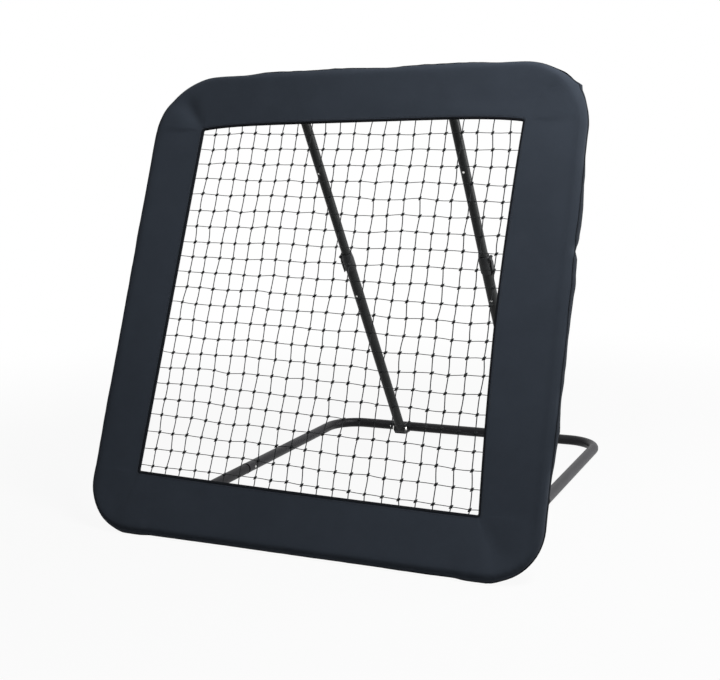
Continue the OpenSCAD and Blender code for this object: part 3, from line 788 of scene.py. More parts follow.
    def sections(self):
        """Points of the whole sleeve, section by section.

        With them comes, for each point of a section, how loose the cloth is there, how
        near the seam that is, and how far from the tube, each from 0 to 1.
        """
        shares = np.linspace(0, 1, self.WEB_STEPS + 1)
        angles = np.linspace(math.pi / 2, -math.pi / 2, self.BEAD_STEPS + 1)[1:-1]
        points = []
        for station in range(len(self.inner)):
            row = [self.web(station, share, True) for share in shares]
            row += [self.bead_point(station, angle) for angle in angles]
            row += [self.web(station, share, False) for share in shares[::-1]]
            points.append(row)
        web_loose = np.clip((shares - self.LOOSE_START) / self.LOOSE_RAMP, 0, 1)
        web_loose = web_loose * (1 - self.LOOSE_LOSS * shares)
        loose = np.concatenate([web_loose, np.full(len(angles), self.LOOSE_ROUND), web_loose[::-1]])
        bead_seam = seam_share(angles)
        web_seam = np.clip((shares - self.GATHER_START) / (1 - self.GATHER_START), 0, 1) * bead_seam[0]
        seam = np.concatenate([web_seam, bead_seam, web_seam[::-1]])
        room = np.concatenate([1 - shares, np.zeros(len(angles)), 1 - shares[::-1]])
        return np.array(points), loose, seam, room


def smooth_step(share):
    """Eases a share from 0 to 1 in and out."""
    return share * share * (3 - 2 * share)


def border_slope(panel, cloth):
    """How much each face of the border rises from the opening to the tube, per metre."""
    return (cloth.bead - cloth.hem / 2) / panel.border


# The middle of the gathers and how far they spread from it, as angles round the tube
GATHER_MIDDLE = 0.35
GATHER_SPREAD = 0.55


def seam_share(angle):
    """How near an angle round the tube is to the outer seam, from 0 to 1."""
    return np.exp(-(((angle - GATHER_MIDDLE) / GATHER_SPREAD) ** 2))


def corner_fold(corners, x, z, front):
    """Depth of the soft folds that run out from the opening's corners."""
    depth = 0.0
    slant = math.pi / 4 - (0.10 if front else -0.08)
    for corner, deep in zip(corners, CORNER_FOLDS):
        away_x = abs(x) - abs(corner[0])
        away_z = (z - corner[1]) * (1 if corner[1] > 0.5 else -1)
        reach = math.hypot(away_x, away_z)
        if x * corner[0] < 0 or away_x < 0 or away_z < 0 or reach > FOLD_REACH:
            continue
        aside = reach * math.sin(math.atan2(away_x, away_z) - slant)
        width = 0.007 + 0.16 * reach
        swell = math.sin(math.pi * reach / FOLD_REACH) ** 1.3
        beside = math.exp(-(((aside - 2.2 * width) / (1.3 * width)) ** 2))
        depth += deep * swell * (math.exp(-((aside / width) ** 2)) - 0.55 * beside)
    return depth


def cloth_heights(form, points, loose, seam, room):
    """How far each point of the sleeve stands out, from soft waves and seam gathers."""
    cloth = form.cloth
    rows, columns = points.shape[:2]
    heights = np.zeros((rows, columns))
    corners = form.opening_corners()
    for row in range(rows):
        puckered = form.gather(row)
        for column in range(columns):
            x, y, z = points[row, column]
            side = 4.0 if y < 0 else 9.0
            broad = noise.noise(Vector((x * 6, side, z * 6)))
            broad += 0.5 * noise.noise(Vector((x * 15, side, z * 15)))
            height = cloth.softness * broad * loose[column] + puckered * seam[column]
            height -= corner_fold(corners, x, z, y < 0)
            # the tube lies close under the cloth, so the cloth sinks only away from it
            if height < 0:
                height *= min(1.0, 4 * room[column])
            heights[row, column] = height
    return heights


# Number of a section's point that lies on the front of the border
FRONT_COLUMN = 3


def grid_normals(points):
    """Unit normals that point out of the sleeve, from its grid of points."""
    along = np.roll(points, -1, axis=0) - np.roll(points, 1, axis=0)
    across = np.gradient(points, axis=1)
    normals = np.cross(along, across)
    normals /= np.linalg.norm(normals, axis=2)[:, :, None]
    inwards = normals[:, FRONT_COLUMN, 1] > 0
    normals[inwards] *= -1
    return normals


# ---- operators -------------------------------------------------------------


class SleeveMaker(bpy.types.Operator):
    """Make the cloth sleeve, with its slots for the brackets and hinge straps"""

    bl_idname = "rebound.sleeve"
    bl_label = "Sleeve"

    # A slot's half width, how far it reaches backwards from the tube's axis, and its lower
    # and upper ends; a bracket's ends are measured from the top tube
    BRACKET_SLOT = (0.0155, (0.0015, 0.040), (-0.0142, 0.0132))
    STRAP_SLOT = (0.0152, (0.0, 0.040), (-0.0200, 0.0290))
    SLOT_ROUND = 0.0025
    CRISP = math.radians(50)

    def slot_cutter(self, panel, matrix):
        """Rounded blocks where brackets and straps leave the sleeve."""
        shape = Shape()
        for side, sign in SIDES.items():
            self.block(shape, UPPER_PIVOT[side].x, panel.height, *self.BRACKET_SLOT)
            self.block(shape, sign * panel.leg_spacing / 2, 0.0, *self.STRAP_SLOT)
        return shape.piece("slot_cutter", None, "panel", "sleeve_cloth", matrix, False)

    def block(self, shape, x, z, half, depths, ends):
        """A block with rounded edges, centred on x and set against a height z."""
        rounding = self.SLOT_ROUND
        low, high = z + ends[0], z + ends[1]
        outline = []
        for sign_x, sign_z, start in ((1, 1, 0), (-1, 1, 90), (-1, -1, 180), (1, -1, 270)):
            centre_x = x + sign_x * (half - rounding)
            centre_z = (high - rounding) if sign_z > 0 else (low + rounding)
            for turn in np.radians(np.linspace(start, start + 90, 5)):
                outline.append((centre_x + rounding * math.cos(turn), centre_z + rounding * math.sin(turn)))
        upright = Matrix(((1, 0, 0, 0), (0, 0, 1, 0), (0, 1, 0, 0), (0, 0, 0, 1)))
        add_prism(shape, outline, *depths, upright)

    def execute(self, context):
        panel, cloth = context.scene.rebound_panel, context.scene.rebound_cloth
        form = SleeveForm(panel, cloth)
        points, loose, seam, room = form.sections()
        heights = cloth_heights(form, points, loose, seam, room)
        matrix = panel_matrix(panel)
        material = woven_cloth("woven_polyester", cloth.colour, panel.lean)
        shape = Shape()
        shape.add(points + grid_normals(points) * heights[:, :, None], grid_faces(*heights.shape, True, True))
        piece = shape.piece("sleeve_cloth", material, "panel", "sleeve_cloth", matrix)
        apply_modifier(piece, "SOLIDIFY", thickness=cloth.cloth, offset=-1)
        cutter = self.slot_cutter(panel, matrix)
        apply_modifier(piece, "BOOLEAN", operation="DIFFERENCE", object=cutter, solver="EXACT")
        bpy.data.objects.remove(cutter)
        piece.data.shade_smooth()
        mark_sharp(piece, self.CRISP)
        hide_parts("sleeve")
        return {"FINISHED"}


class SeamMaker(bpy.types.Operator):
    """Make the gathered tape over the seam along the sleeve's outer edge"""

    bl_idname = "rebound.outer_seam"
    bl_label = "Outer seam"

    # The tape's section: share of the way to its back edge, and height in millimetres
    SECTION = (
        (-0.03, 0.0), (0.0, 0.55), (0.12, 0.7), (0.4, 0.75), (0.7, 0.7), (0.96, 0.5), (1.0, 0.0),
        (0.6, -0.4), (0.1, -0.5),
    )
    # Each piped edge: share of the way to the tape's back edge, height of its middle and
    # its radius, both in millimetres
    PIPING = ((0.0, 0.45, 0.7), (0.5, 0.7, 0.6))
    PIPING_SIDES = 6
    # How far the tape's zero height lies off the cloth
    CLEAR = 0.0003
    # Waves of the tape's height and of its front edge
    CRIMP_WAVE = (0.017, 2.2)
    SWAY_WAVE = (0.05, 6.6)
    # Share by which the tape's cloth is painted darker than the sleeve: painted shade along the outer edge
    PAINTED_SHADE = 0.62
    SHEEN = 0.02

    def tape_points(self, form, station, section):
        """Points of the tape at a station, for pairs of share and height."""
        crimp = 0.75 + 0.5 * (0.5 + 0.5 * form.wave(station, *self.CRIMP_WAVE))
        front = form.seam_angle(station) + 0.07 * form.wave(station, *self.SWAY_WAVE)
        back, gather = form.seam_back(station), form.gather(station)
        points = []
        for share, height in section:
            turn = front + (back - front) * share
            proud = height * MM * crimp + gather * seam_share(turn) + self.CLEAR
            points.append(form.bead_point(station, turn, proud))
        return points

    def execute(self, context):
        panel, cloth = context.scene.rebound_panel, context.scene.rebound_cloth
        form = SleeveForm(panel, cloth)
        matrix = panel_matrix(panel)
        stations = range(len(form.inner))
        middles = [(share, height) for share, height, _ in self.PIPING]
        tape, piping = Shape(), Shape()
        rows = [self.tape_points(form, station, self.SECTION) for station in stations]
        tape.add(rows, grid_faces(len(rows), len(self.SECTION), True, True))
        lines = np.array([self.tape_points(form, station, middles) for station in stations])
        for index, (_, _, radius) in enumerate(self.PIPING):
            rings = tube_rings(lines[:, index], radius * MM, self.PIPING_SIDES, (0, 1, 0))
            piping.add(rings, grid_faces(len(rings), self.PIPING_SIDES, True, True))
        # Painted shade: the tape's cloth is darker than the sleeve's
        tape_cloth_painted_shade = woven_cloth("seam_cloth_painted_shade", darker(cloth.colour, self.PAINTED_SHADE), panel.lean, self.SHEEN)
        tape.piece("outer_seam", tape_cloth_painted_shade, "panel", "sleeve_cloth", matrix)
        # Painted shade: the piping is near-black, drawing the dark lines of shade along the seam and the outer
        # edge
        piping_painted_shade = webbing("piping_painted_shade", cloth.binding_colour_and_painted_shade, panel.lean)
        piping.piece("seam_piping_painted_shade", piping_painted_shade, "panel", "binding_tape", matrix)
        return {"FINISHED"}


class BindingMaker(bpy.types.Operator):
    """Make the tape folded over the opening's edge"""

    bl_idname = "rebound.binding"
    bl_label = "Binding"

    # Thickness of the tape, and its gap to the cloth
    TAPE = 0.0007
    CLEAR = 0.0001
    # Where the tape starts to turn over the edge, measured along the border
    FOLD = 0.0008
    # How far the tape's free edges wander and in what waves; up to a distance from the
    # opening's edge it doesn't
    SWAY = 0.0004
    SWAY_WAVE = (0.06, 1.4)
    STILL = 0.002
    CRISP = math.radians(50)

    def section(self, panel, cloth):
        """The folded tape's section: distance along the border, and depth behind its middle."""
        width, half_hem, tape = cloth.binding, cloth.hem / 2, self.TAPE
        slope = border_slope(panel, cloth)
        far = half_hem + slope * width
        outside = [
            (width, far + tape),
            (width * 0.55, half_hem + slope * width * 0.55 + tape * 1.25),
            (self.FOLD, half_hem + tape),
            (-tape * 0.9, half_hem * 0.75),
        ]
        inside = [(width, far + self.CLEAR), (self.FOLD, half_hem + self.CLEAR)]
        section = [(along, -depth) for along, depth in outside] + [(-tape * 1.25, 0)] + outside[::-1]
        return section + inside + [(0.0, 0.0)] + [(along, -depth) for along, depth in inside[::-1]]

    def execute(self, context):
        panel, cloth = context.scene.rebound_panel, context.scene.rebound_cloth
        form = SleeveForm(panel, cloth)
        section = self.section(panel, cloth)
        rows = []
        for station, inner in enumerate(form.inner):
            ray = form.outer[station] - inner
            ray = ray / np.linalg.norm(ray)
            sway = self.SWAY * form.wave(station, *self.SWAY_WAVE)
            for along, depth in section:
                flat = inner + ray * (along + (sway if along > self.STILL else 0))
                rows.append((flat[0], depth, flat[1]))
        shape = Shape()
        shape.add(rows, grid_faces(len(form.inner), len(section), True, True))
        # Painted shade in part: the binding is darker than the cloth, for the shade along the opening's edge
        material = webbing("binding_tape", cloth.binding_colour_and_painted_shade, panel.lean)
        piece = shape.piece("opening_binding", material, "panel", "binding_tape", panel_matrix(panel))
        mark_sharp(piece, self.CRISP)
        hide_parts("hem_binding")
        return {"FINISHED"}


# A stitch's half length, half width and height, how far its ends dip and how deep it
# sits, and the distance from one stitch to the next
STITCH_SIZE = (0.00155, 0.00042, 0.00055)
STITCH_DIP = 0.0002
STITCH_SUNK = 0.00015
STITCH_PITCH = 0.0042
# Share of the half length and how full the stitch is there, and share of the half width
# and how high it is there
STITCH_SWELL = ((-1.0, 0.25), (-0.7, 0.85), (0.0, 1.0), (0.7, 0.85), (1.0, 0.25))
STITCH_SECTION = ((-1, 0.0), (-0.6, 0.8), (0.6, 0.8), (1, 0.0))


def add_stitch(shape, place, along, up):
    """One stitch lying on the cloth: a low rounded bar that dips at both ends."""
    half_length, half_width, height = STITCH_SIZE
    across = np.cross(along, up)
    points = []
    for share, swell in STITCH_SWELL:
        for side, lift in STITCH_SECTION:
            flat = place + along * half_length * share + across * half_width * side * swell
            points.append(flat + up * (height * (lift * swell) - STITCH_DIP * (1 - swell) - STITCH_SUNK))
    shape.add(points, closed_tube_faces(len(STITCH_SWELL), len(STITCH_SECTION)))


def sew(shape, line, ups, closed=True):
    """Puts stitches at even steps along a line of points."""
    line, ups = np.asarray(line), np.asarray(ups)
    if closed:
        line, ups = np.vstack([line, line[:1]]), np.vstack([ups, ups[:1]])
    steps = np.linalg.norm(np.diff(line, axis=0), axis=1)
    run = np.concatenate([[0], np.cumsum(steps)])
    for at in np.arange(STITCH_PITCH / 2, run[-1], STITCH_PITCH):
        index = min(np.searchsorted(run, at) - 1, len(steps) - 1)
        share = (at - run[index]) / steps[index]
        place = line[index] * (1 - share) + line[index + 1] * share
        along = (line[index + 1] - line[index]) / steps[index]
        up = ups[index] - along * np.dot(along, ups[index])
        add_stitch(shape, place, along, up / np.linalg.norm(up))


class StitchMaker(bpy.types.Operator):
    """Sew a row of stitches beside the binding, on the front and on the back"""

    bl_idname = "rebound.stitches"
    bl_label = "Stitches"

    # Distance from the binding to the stitches, and how far they stand off the cloth
    INSET = 0.0030
    PROUD = 0.0003

    def execute(self, context):
        panel, cloth = context.scene.rebound_panel, context.scene.rebound_cloth
        form = SleeveForm(panel, cloth)
        along = cloth.binding + self.INSET
        depth = cloth.hem / 2 + border_slope(panel, cloth) * along + self.PROUD
        rays = form.outer - form.inner
        flat = form.inner + rays / np.linalg.norm(rays, axis=1)[:, None] * along
        shape = Shape()
        for sign in (-1.0, 1.0):
            line = [(x, sign * depth, z) for x, z in flat]
            sew(shape, line, np.tile((0.0, sign, 0.0), (len(line), 1)))
        thread = moulded_nylon("sewing_thread", cloth.thread_colour)
        shape.piece("binding_stitches", thread, "panel", "binding_tape", panel_matrix(panel))
        return {"FINISHED"}


class FlapMaker(bpy.types.Operator):
    """Make the closing strips on the back of the sleeve"""

    bl_idname = "rebound.closing_strips"
    bl_label = "Closing strips"

    # Distance from the tube's axis to a strip, and the strip's width
    INSET = 0.040
    WIDTH = 0.028
    # Across a strip: share of its width, shift from there, and height off the cloth
    SECTION = (
        (0.0, 0.0, 0.0001),
        (0.0, 0.0004, 0.0010),
        (0.5, 0.0, 0.0015),
        (1.0, -0.0004, 0.0010),
        (1.0, 0.0, 0.0001),
        (0.5, 0.0, 0.0001),
    )
    # Distance from one section to the next, and how far a strip wanders sideways
    STEP = 0.012
    SWAY = 0.0008
    # Distance from a strip's edges to its stitches, and the stitches' height
    MARGIN = 0.003
    THREAD = 0.0012
    # Room left beside a bend or a hinge strap, and the hinge strap's width
    GAP = 0.024
    STRAP = 0.024
    CRISP = math.radians(60)

    def strips(self, panel):
        """Start, end and inward direction of each strip, on the tube's axis."""
        half, height, gap = panel.width / 2, panel.height, self.GAP
        side_low, side_high = panel.lower_bend + gap, height - panel.upper_bend - gap
        cross = (panel.leg_spacing - self.STRAP - 2 * gap) / 2
        return [
            ((-half, side_low), (-half, side_high), (1, 0)),
            ((half, side_low), (half, side_high), (-1, 0)),
            ((-cross, 0), (cross, 0), (0, 1)),
            ((-cross, height), (cross, height), (0, -1)),
        ]

    def execute(self, context):
        panel, cloth = context.scene.rebound_panel, context.scene.rebound_cloth
        matrix = panel_matrix(panel)
        slope = border_slope(panel, cloth)
        tape, stitches = Shape(), Shape()

        def on_back(place, inward, distance, proud):
            """A point behind the cloth, at a distance inward from a place on the tube's axis."""
            flat = place + inward * distance
            return (flat[0], cloth.bead - slope * distance + proud, flat[1])

        for strip in self.strips(panel):
            start, end, inward = (np.array(value, float) for value in strip)
            span = np.linalg.norm(end - start)
            steps = max(2, int(span / self.STEP))
            rows = []
            for part in range(steps + 1):
                place = start + (end - start) * part / steps
                sway = self.SWAY * noise.noise(Vector((part * 0.7, inward[0] * 5, inward[1] * 3)))
                for share, shift, proud in self.SECTION:
                    distance = self.INSET + self.WIDTH * share + shift + sway
                    rows.append(on_back(place, inward, distance, proud))
            tape.add(rows, closed_tube_faces(steps + 1, len(self.SECTION)))
            back_off = (end - start) / span * self.MARGIN
            for distance in (self.INSET + self.MARGIN, self.INSET + self.WIDTH - self.MARGIN):
                ends = (start + back_off, end - back_off)
                line = [on_back(place, inward, distance, self.THREAD) for place in ends]
                sew(stitches, line, [(0.0, 1.0, 0.0)] * 2, closed=False)
        tape_cloth_painted_shade = webbing("strip_tape", cloth.binding_colour_and_painted_shade, panel.lean)
        piece = tape.piece("closing_tape", tape_cloth_painted_shade, "panel", "binding_tape", matrix)
        mark_sharp(piece, self.CRISP)
        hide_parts("closing_strips")
        thread = moulded_nylon("strip_thread", cloth.thread_colour)
        stitches.piece("strip_stitches", thread, "panel", "binding_tape", matrix)
        return {"FINISHED"}


class NetMaker(bpy.types.Operator):
    """Knot the net and lace its strands into the binding"""

    bl_idname = "rebound.net"
    bl_label = "Net"

    # Share of a mesh between the outermost strands and the opening's edge, at the lower
    # right, upper right, upper left and lower left corners, across and up
    EDGE_MESH = ((0.62, 0.30), (0.72, 0.74), (0.88, 0.28), (0.84, 0.46))
    # How far the strands' ends lie under the hem, and how far the net's middle hangs back
    TUCK = 0.004
    BELLY = 0.003
    # How far a strand bows between knots, as a share of a mesh, and its points per mesh
    SWING = 0.05
    STEPS = 4
    CORD_SIDES = 6
    # A knot's radius along each of its loops, as shares of its size, and how it is turned
    KNOT_RADII = np.array([0.10, 0.22, 0.27, 0.22, 0.10])
    KNOT_TURN = 0.785
    SEED = 5

    def knots(self, form, net):
        """Places of all knots, with one more strand end in each direction under the hem."""
        noise.seed_set(self.SEED)
        columns, rows = net.uprights, net.crossers
        corners = form.opening_corners()
        grid = np.zeros((columns + 2, rows + 2, 3))
        for i in range(columns + 2):
            for j in range(rows + 2):
                across, up = self.share(i, j, columns, rows)
                weights = (across * (1 - up), across * up, (1 - across) * up, (1 - across) * (1 - up))
                flat = sum(corner * weight for corner, weight in zip(corners, weights))
                drift = Vector((i * 0.31, j * 0.27, 2.0))
                jolt = Vector((i * 1.7, j * 1.9, 7.0))
                sway = noise.noise_vector(drift) + 0.75 * noise.noise_vector(jolt)
                x = flat[0] + self.beside(i, columns, net.slack * sway.x, form, up, (2, 0))
                z = flat[1] + self.beside(j, rows, net.slack * sway.z, form, across, (3, 1))
                belly = self.BELLY * max(0.0, math.sin(math.pi * across) * math.sin(math.pi * up))
                grid[i, j] = (x, belly, z)
        return grid

    def beside(self, index, count, sway, form, share, sides):
        """How far a knot lies off the even grid: a strand's end follows the hem's bow."""
        if index == 0:
            return -form.side_bow(sides[0], share) - self.TUCK
        if index == count + 1:
            return form.side_bow(sides[1], share) + self.TUCK
        return sway

    def share(self, i, j, columns, rows):
        """How far across and up the opening a knot lies, from 0 to 1."""
        near_up, near_across = (j - 0.5) / rows, (i - 0.5) / columns
        low_right, high_right, high_left, low_left = self.EDGE_MESH
        left = low_left[0] * (1 - near_up) + high_left[0] * near_up
        right = low_right[0] * (1 - near_up) + high_right[0] * near_up
        below = low_left[1] * (1 - near_across) + low_right[1] * near_across
        above = high_left[1] * (1 - near_across) + high_right[1] * near_across
        across = (left + i - 1) / (columns - 1 + left + right)
        up = (below + j - 1) / (rows - 1 + below + above)
        return min(max(across, 0.0), 1.0), min(max(up, 0.0), 1.0)

    def strand(self, knots, seed):
        """A cord through a row of knots, with a little swing between them."""
        path = [knots[0]]
        for index in range(len(knots) - 1):
            knot, following = knots[index], knots[index + 1]
            bow = self.SWING * noise.noise(Vector((index * 0.9, seed, 3.3)))
            span = following - knot
            side = np.array([span[2], 0, -span[0]])
            for step in range(1, self.STEPS + 1):
                share = step / self.STEPS
                path.append(knot + span * share + side * bow * math.sin(math.pi * share))
        return np.array(path)

    def knot_shape(self, shape, place, size, turn):
        """A small lumpy knot: a long loop drawn tight across a shorter one."""
        shares = np.linspace(-1, 1, len(self.KNOT_RADII))
        for tilt, reach, girth in ((turn, 0.56, 0.9), (turn + math.pi / 2, 0.34, 1.0)):
            direction = np.array([math.cos(tilt), 0, math.sin(tilt)])
            path = [place + direction * size * reach * share for share in shares]
            add_tube(shape, path, size * girth * self.KNOT_RADII, self.CORD_SIDES)

    def execute(self, context):
        panel, net = context.scene.rebound_panel, context.scene.rebound_net
        grid = self.knots(SleeveForm(panel, context.scene.rebound_cloth), net)
        matrix = panel_matrix(panel)
        strands, knots = Shape(), Shape()
        for i in range(1, net.uprights + 1):
            add_tube(strands, self.strand(grid[i, :], i * 1.3), net.upright_cord / 2, self.CORD_SIDES)
        for j in range(1, net.crossers + 1):
            add_tube(strands, self.strand(grid[:, j], 40 + j * 1.7), net.crosser_cord / 2, self.CORD_SIDES)
        for i in range(1, net.uprights + 1):
            for j in range(1, net.crossers + 1):
                turn = self.KNOT_TURN + 0.35 * noise.noise(Vector((i * 2.1, j * 1.3, 5)))
                size = net.knot * (1 + 0.15 * noise.noise(Vector((i * 1.1, j * 2.3, 1))))
                self.knot_shape(knots, grid[i, j], size, turn)
        material = twisted_cord("net_cord_finish", net.colour, panel.lean)
        piece = strands.piece("net_strands", material, "panel", "net_cord", matrix)
        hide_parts("net")
        knots.piece("net_knots", material, "panel", "net_cord", matrix)
        return {"FINISHED"}


class RingMaker(bpy.types.Operator):
    """Make the moulded rings between the two tubes of each ground leg"""

    bl_idname = "rebound.leg_rings"
    bl_label = "Leg rings"

    # The ring's section in millimetres: distance outside the leg, and along it from the
    # end of the rear hoop
    SECTION = (
        (-1.5, 0.1), (0.05, 0.1), (0.05, -1.6), (0.5, -1.2), (0.6, 1.0),
        (0.5, 3.2), (0.05, 3.6), (0.05, 1.9), (-1.5, 1.9), (-1.5, 0.2),
    )
    ROUND_STEPS = 32
    # Share by which the ring is darker than the nylon: painted shade in the gap of the leg's joint
    PAINTED_SHADE = 0.2
    GLOSS = 0.02
    CRISP = math.radians(40)

    def execute(self, context):
        shape = Shape()
        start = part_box("rear_hoop")[0].y
        for side in SIDES:
            low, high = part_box(f"front_leg_{side}")
            radius = (high.x - low.x) / 2 / MM
            middle = Vector(((low.x + high.x) / 2, start, (low.z + high.z) / 2))
            turn = Matrix.Translation(middle) @ Matrix.Rotation(math.pi / 2, 4, "X") @ Matrix.Scale(MM, 4)
            add_lathe(shape, [(radius + out, along) for out, along in self.SECTION], self.ROUND_STEPS, turn)
        # Painted shade: the ring is near-black, standing in for the shade in the joint's gap
        shade = darker(context.scene.rebound_metal.nylon, self.PAINTED_SHADE)
        material = moulded_nylon("ring_moulding_painted_shade", shade, self.GLOSS)
        piece = shape.piece("leg_joint_rings", material, "base", "black_nylon")
        mark_sharp(piece, self.CRISP)
        return {"FINISHED"}


class BoltMaker(bpy.types.Operator):
    """Make the pivot bolts with domed heads, washers, nuts and threads"""

    bl_idname = "rebound.bolts"
    bl_label = "Pivot bolts"

    # Radii and lengths in millimetres; the dome starts and the bolt ends at distances
    # from the bracket's faces
    SHANK = 3.0
    HEAD = 5.1
    HEAD_BEVEL = 0.25
    DOME_START = 0.6
    DOME_HEIGHT = 2.7
    WASHER = 5.9
    WASHER_THICK = 0.9
    NUT_ACROSS = 10.0
    NUT_THICK = 4.2
    NUT_CHAMFER = 0.5
    # Share of the nut's corners that is left where they are chamfered away
    NUT_CROWN = 0.93
    END = 6.8
    THREAD_STEP = 0.8
    THREAD_DEPTH = 0.35
    HEAD_SIDES = 32
    WASHER_SIDES = 28
    THREAD_SIDES = 20
    CRISP = math.radians(28)
    # Piece, pivots, body, the nodes that it replaces, and the bracket that it goes through
    SETS = (
        ("top_pivot_bolts", UPPER_PIVOT, "panel", ("top_bolts", "top_nuts"), "top_bracket"),
        ("rail_pivot_bolts", LOWER_PIVOT, "base", ("rail_bolts", "rail_nuts"), "rail_bracket"),
    )

    def nut(self, shape, low, high, matrix):
        """A hexagon whose corners are chamfered at its low end."""
        corner, flat = self.NUT_ACROSS / math.sqrt(3), self.NUT_ACROSS / 2
        turns = np.radians(np.arange(0, 360, 15))
        reach = flat / np.cos((turns + math.pi / 6) % (math.pi / 3) - math.pi / 6)
        levels = (
            (low, self.NUT_CROWN),
            (low + self.NUT_CHAMFER, 1.0),
            (high - self.NUT_CHAMFER, 1.0),
            (high, 1.0),
        )
        points = []
        for z, share in levels:
            for radius, turn in zip(np.minimum(reach, corner * share), turns):
                points.append(matrix @ Vector((radius * math.cos(turn), radius * math.sin(turn), z)))
        shape.add(points, closed_tube_faces(len(levels), len(turns)))

    def bolt(self, shape, pivot, face):
        """A whole bolt set across a pivot, through a bracket with faces at equal distances."""
        matrix = Matrix.Translation(pivot) @ Matrix.Rotation(math.pi / 2, 4, "Y") @ Matrix.Scale(MM, 4)
        shank, head, washer = self.SHANK, self.HEAD, self.WASHER
        bevel, dome_start = self.HEAD_BEVEL, face + self.DOME_START
        dome = [(shank, face - 1.0), (shank, face), (head - bevel, face), (head, face + bevel)]
        for turn in np.radians(np.linspace(0, 90, 8))[:-1]:
            dome.append((head * math.cos(turn) ** 0.8, dome_start + self.DOME_HEIGHT * math.sin(turn)))
        dome.append((0.3, dome_start + self.DOME_HEIGHT))
        add_lathe(shape, dome, self.HEAD_SIDES, matrix)
        under = -face - self.WASHER_THICK
        ring = [(shank, -face), (washer, -face), (washer, under), (shank, under)]
        add_lathe(shape, ring, self.WASHER_SIDES, matrix)
        below = under - self.NUT_THICK
        self.nut(shape, below, under, matrix)
        thread = [(shank, face), (shank, below + 0.3)]
        z, end = below - 0.1, -face - self.END
        while z > end + 0.6:
            thread += [(shank, z), (shank - self.THREAD_DEPTH, z - self.THREAD_STEP / 2)]
            z -= self.THREAD_STEP
        thread += [(shank - 0.5, end + 0.2), (shank - 1.0, end)]
        add_lathe(shape, thread, self.THREAD_SIDES, matrix)

    def execute(self, context):
        material = zinc_plate("zinc_bolts", context.scene.rebound_metal.zinc)
        for name, pivots, body, nodes, bracket in self.SETS:
            shape = Shape()
            for side, pivot in pivots.items():
                low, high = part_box(f"{bracket}_{side}")
                self.bolt(shape, pivot, (high.x - low.x) / 2 / MM)
            piece = shape.piece(name, material, body, "zinc")
            mark_sharp(piece, self.CRISP)
            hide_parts(*nodes)
        return {"FINISHED"}


class FinishMaker(bpy.types.Operator):
    """Give the tubes, brackets, plugs, collars and rivets their finishes"""

    bl_idname = "rebound.finishes"
    bl_label = "Finishes"

    TUBE_ROUGHNESS = 0.42
    FRONT_ROUGHNESS = 0.46

    def execute(self, context):
        metal = context.scene.rebound_metal
        finishes = {
            "black_steel": powder_coat("black_powder_coat", metal.black, self.TUBE_ROUGHNESS),
            # Painted shade: the grey coat is painted darker between the legs and on their inner sides
            "grey_steel": powder_coat("grey_coat_painted_rail_shade", metal.grey, self.TUBE_ROUGHNESS, metal.rail),
            "zinc": zinc_plate("zinc_plating", metal.zinc),
            "black_nylon": moulded_nylon("black_moulding", metal.nylon),
        }
        # Painted shade: the front legs are given the rail's darker colour instead of the legs' grey
        front_painted_shade_finish = powder_coat("front_coat_painted_shade", metal.rail, self.FRONT_ROUGHNESS)
        for part in frame["record"]["subparts"]:
            finish = finishes.get(part["material_slot"])
            if finish is None:
                continue
            if part["node"].startswith("front_leg"):
                finish = front_painted_shade_finish
            mesh = frame["nodes"][part["node"]].data
            mesh.materials.clear()
            mesh.materials.append(finish)
        return {"FINISHED"}


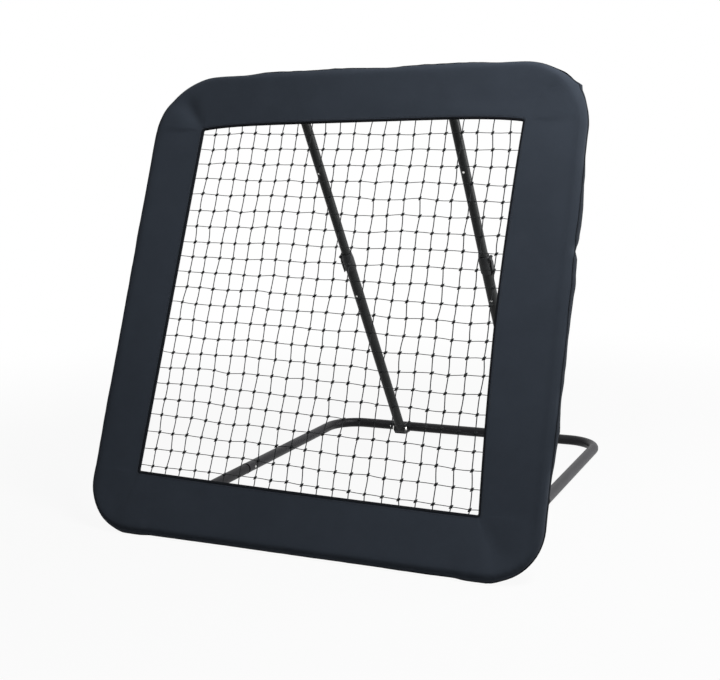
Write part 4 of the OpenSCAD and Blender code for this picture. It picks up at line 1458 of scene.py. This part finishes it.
class StageMaker(bpy.types.Operator):
    """Lay the floor, hang the lights and stand the camera"""

    bl_idname = "rebound.stage"
    bl_label = "Stage"

    # Name, place, side of the square, and watts
    LIGHTS = (
        ("key_light", (1.25, -0.75, 2.2), 0.8, 73),
        ("fill_light", (-2.6, -2.2, 1.7), 2.6, 1),
        ("side_light", (1.9, 0.7, 0.5), 0.9, 32),
        ("back_light", (-0.6, 2.6, 2.6), 2.2, 6),
    )
    TARGET = (0, 0, 0.45)
    WORLD_LIGHT = 0.03
    # The floor's own shade, how white the camera sees it close to the object, and the
    # distances from there between which it turns fully white
    FLOOR_SHADE = 0.42
    FLOOR_WHITE = 0.93
    FLOOR_FADE = (0.7, 2.6)
    # Width of the camera's sensor in millimetres, and how far it sees in metres
    SENSOR_WIDTH = 36
    SIGHT = 200

    def floor(self, size):
        """A pale floor that looks almost white to the camera and fades to white far off."""
        finish = Finish("studio_floor", Roughness=0.9, Specular_IOR_Level=0.0)
        finish.shader.inputs["Base Color"].default_value = rgba([self.FLOOR_SHADE] * 3)
        across, along, _ = finish.axes(finish.place())
        away = (across * across + along * along) ** 0.5
        white = self.FLOOR_WHITE + away.ramp(*self.FLOOR_FADE) * (1 - self.FLOOR_WHITE)
        glow = finish.add("ShaderNodeEmission", {}, {"Color": (1, 1, 1, 1), "Strength": 1.0})
        lit = Value(finish, finish.shader.outputs[0])
        mixed = finish.add("ShaderNodeMixShader", {}, {0: finish.seen() * white, 1: lit, 2: glow})
        finish.link(mixed, finish.output.inputs["Surface"])
        mesh = bpy.data.meshes.new("floor")
        half, ground = size / 2, CAD_BOX[0][2]
        corners = [(-half, -half, ground), (half, -half, ground), (half, half, ground), (-half, half, ground)]
        mesh.from_pydata(corners, [], [[0, 1, 2, 3]])
        mesh.materials.append(finish.material)
        floor = bpy.data.objects.new("floor", mesh)
        bpy.context.scene.collection.objects.link(floor)

    def world(self):
        """White to the camera and in mirrors, and a dim light from all round otherwise."""
        world = bpy.data.worlds.new("studio")
        world.use_nodes = True
        bpy.context.scene.world = world
        nodes = NodeTree(world.node_tree)
        background = world.node_tree.nodes["Background"]
        background.inputs["Color"].default_value = (1, 1, 1, 1)
        strength = self.WORLD_LIGHT + nodes.seen() * (1 - self.WORLD_LIGHT)
        nodes.link(strength, background.inputs["Strength"])

    def light(self, name, place, side, watts):
        """A square area light that faces the target."""
        lamp = bpy.data.lights.new(name, "AREA")
        lamp.energy = watts
        lamp.size = side
        holder = bpy.data.objects.new(name, lamp)
        holder.location = place
        aim = Vector(self.TARGET) - Vector(place)
        holder.rotation_euler = aim.to_track_quat("-Z", "Y").to_euler()
        bpy.context.scene.collection.objects.link(holder)

    def camera(self, stage):
        """The camera, turned to the left, then tilted down, then rolled."""
        yaw, pitch, roll = stage.camera_yaw, stage.camera_pitch, stage.camera_roll
        ahead = Vector((-math.sin(yaw) * math.cos(pitch), math.cos(yaw) * math.cos(pitch), -math.sin(pitch)))
        level = Vector((math.cos(yaw), math.sin(yaw), 0))
        above = level.cross(ahead)
        right = level * math.cos(roll) + above * math.sin(roll)
        up = above * math.cos(roll) - level * math.sin(roll)
        lens = bpy.data.cameras.new("camera")
        lens.lens = stage.lens
        lens.sensor_width = self.SENSOR_WIDTH
        lens.clip_end = self.SIGHT
        holder = bpy.data.objects.new("camera", lens)
        turned = Matrix((right, up, -ahead)).transposed().to_4x4()
        holder.matrix_world = Matrix.Translation(stage.camera_place) @ turned
        bpy.context.scene.collection.objects.link(holder)
        bpy.context.scene.camera = holder

    def execute(self, context):
        stage = context.scene.rebound_stage
        self.floor(stage.floor_size)
        self.world()
        for light in self.LIGHTS:
            self.light(*light)
        self.camera(stage)
        context.scene.view_settings.view_transform = "Standard"
        return {"FINISHED"}


# ---- the add-on ------------------------------------------------------------

OPERATORS = (
    FinishMaker,
    SleeveMaker,
    SeamMaker,
    BindingMaker,
    StitchMaker,
    FlapMaker,
    NetMaker,
    RingMaker,
    BoltMaker,
    StageMaker,
)


class ReboundSidebar(bpy.types.Panel):
    """Lists the pieces that can be made"""

    bl_idname = "VIEW3D_PT_rebound"
    bl_label = "Rebounder"
    bl_space_type = "VIEW_3D"
    bl_region_type = "UI"
    bl_category = "Rebounder"

    def draw(self, context):
        for operator in OPERATORS:
            self.layout.operator(operator.bl_idname)
        for name in PROPERTY_GROUPS:
            group = getattr(context.scene, name)
            box = self.layout.box()
            for field in group.__annotations__:
                box.prop(group, field)


def register():
    """Adds the sizes, operators and panel to Blender."""
    for group in PROPERTY_GROUPS.values():
        bpy.utils.register_class(group)
    for name, group in PROPERTY_GROUPS.items():
        setattr(bpy.types.Scene, name, bpy.props.PointerProperty(type=group))
    for operator in OPERATORS:
        bpy.utils.register_class(operator)
    bpy.utils.register_class(ReboundSidebar)


def unregister():
    """Takes the sizes, operators and panel out of Blender again."""
    bpy.utils.unregister_class(ReboundSidebar)
    for operator in reversed(OPERATORS):
        bpy.utils.unregister_class(operator)
    for name in PROPERTY_GROUPS:
        delattr(bpy.types.Scene, name)
    for group in PROPERTY_GROUPS.values():
        bpy.utils.unregister_class(group)


def main():
    """Makes the whole object."""
    register()
    for operator in OPERATORS:
        group, name = operator.bl_idname.split(".")
        getattr(getattr(bpy.ops, group), name)()


if __name__ == "__main__":
    main()
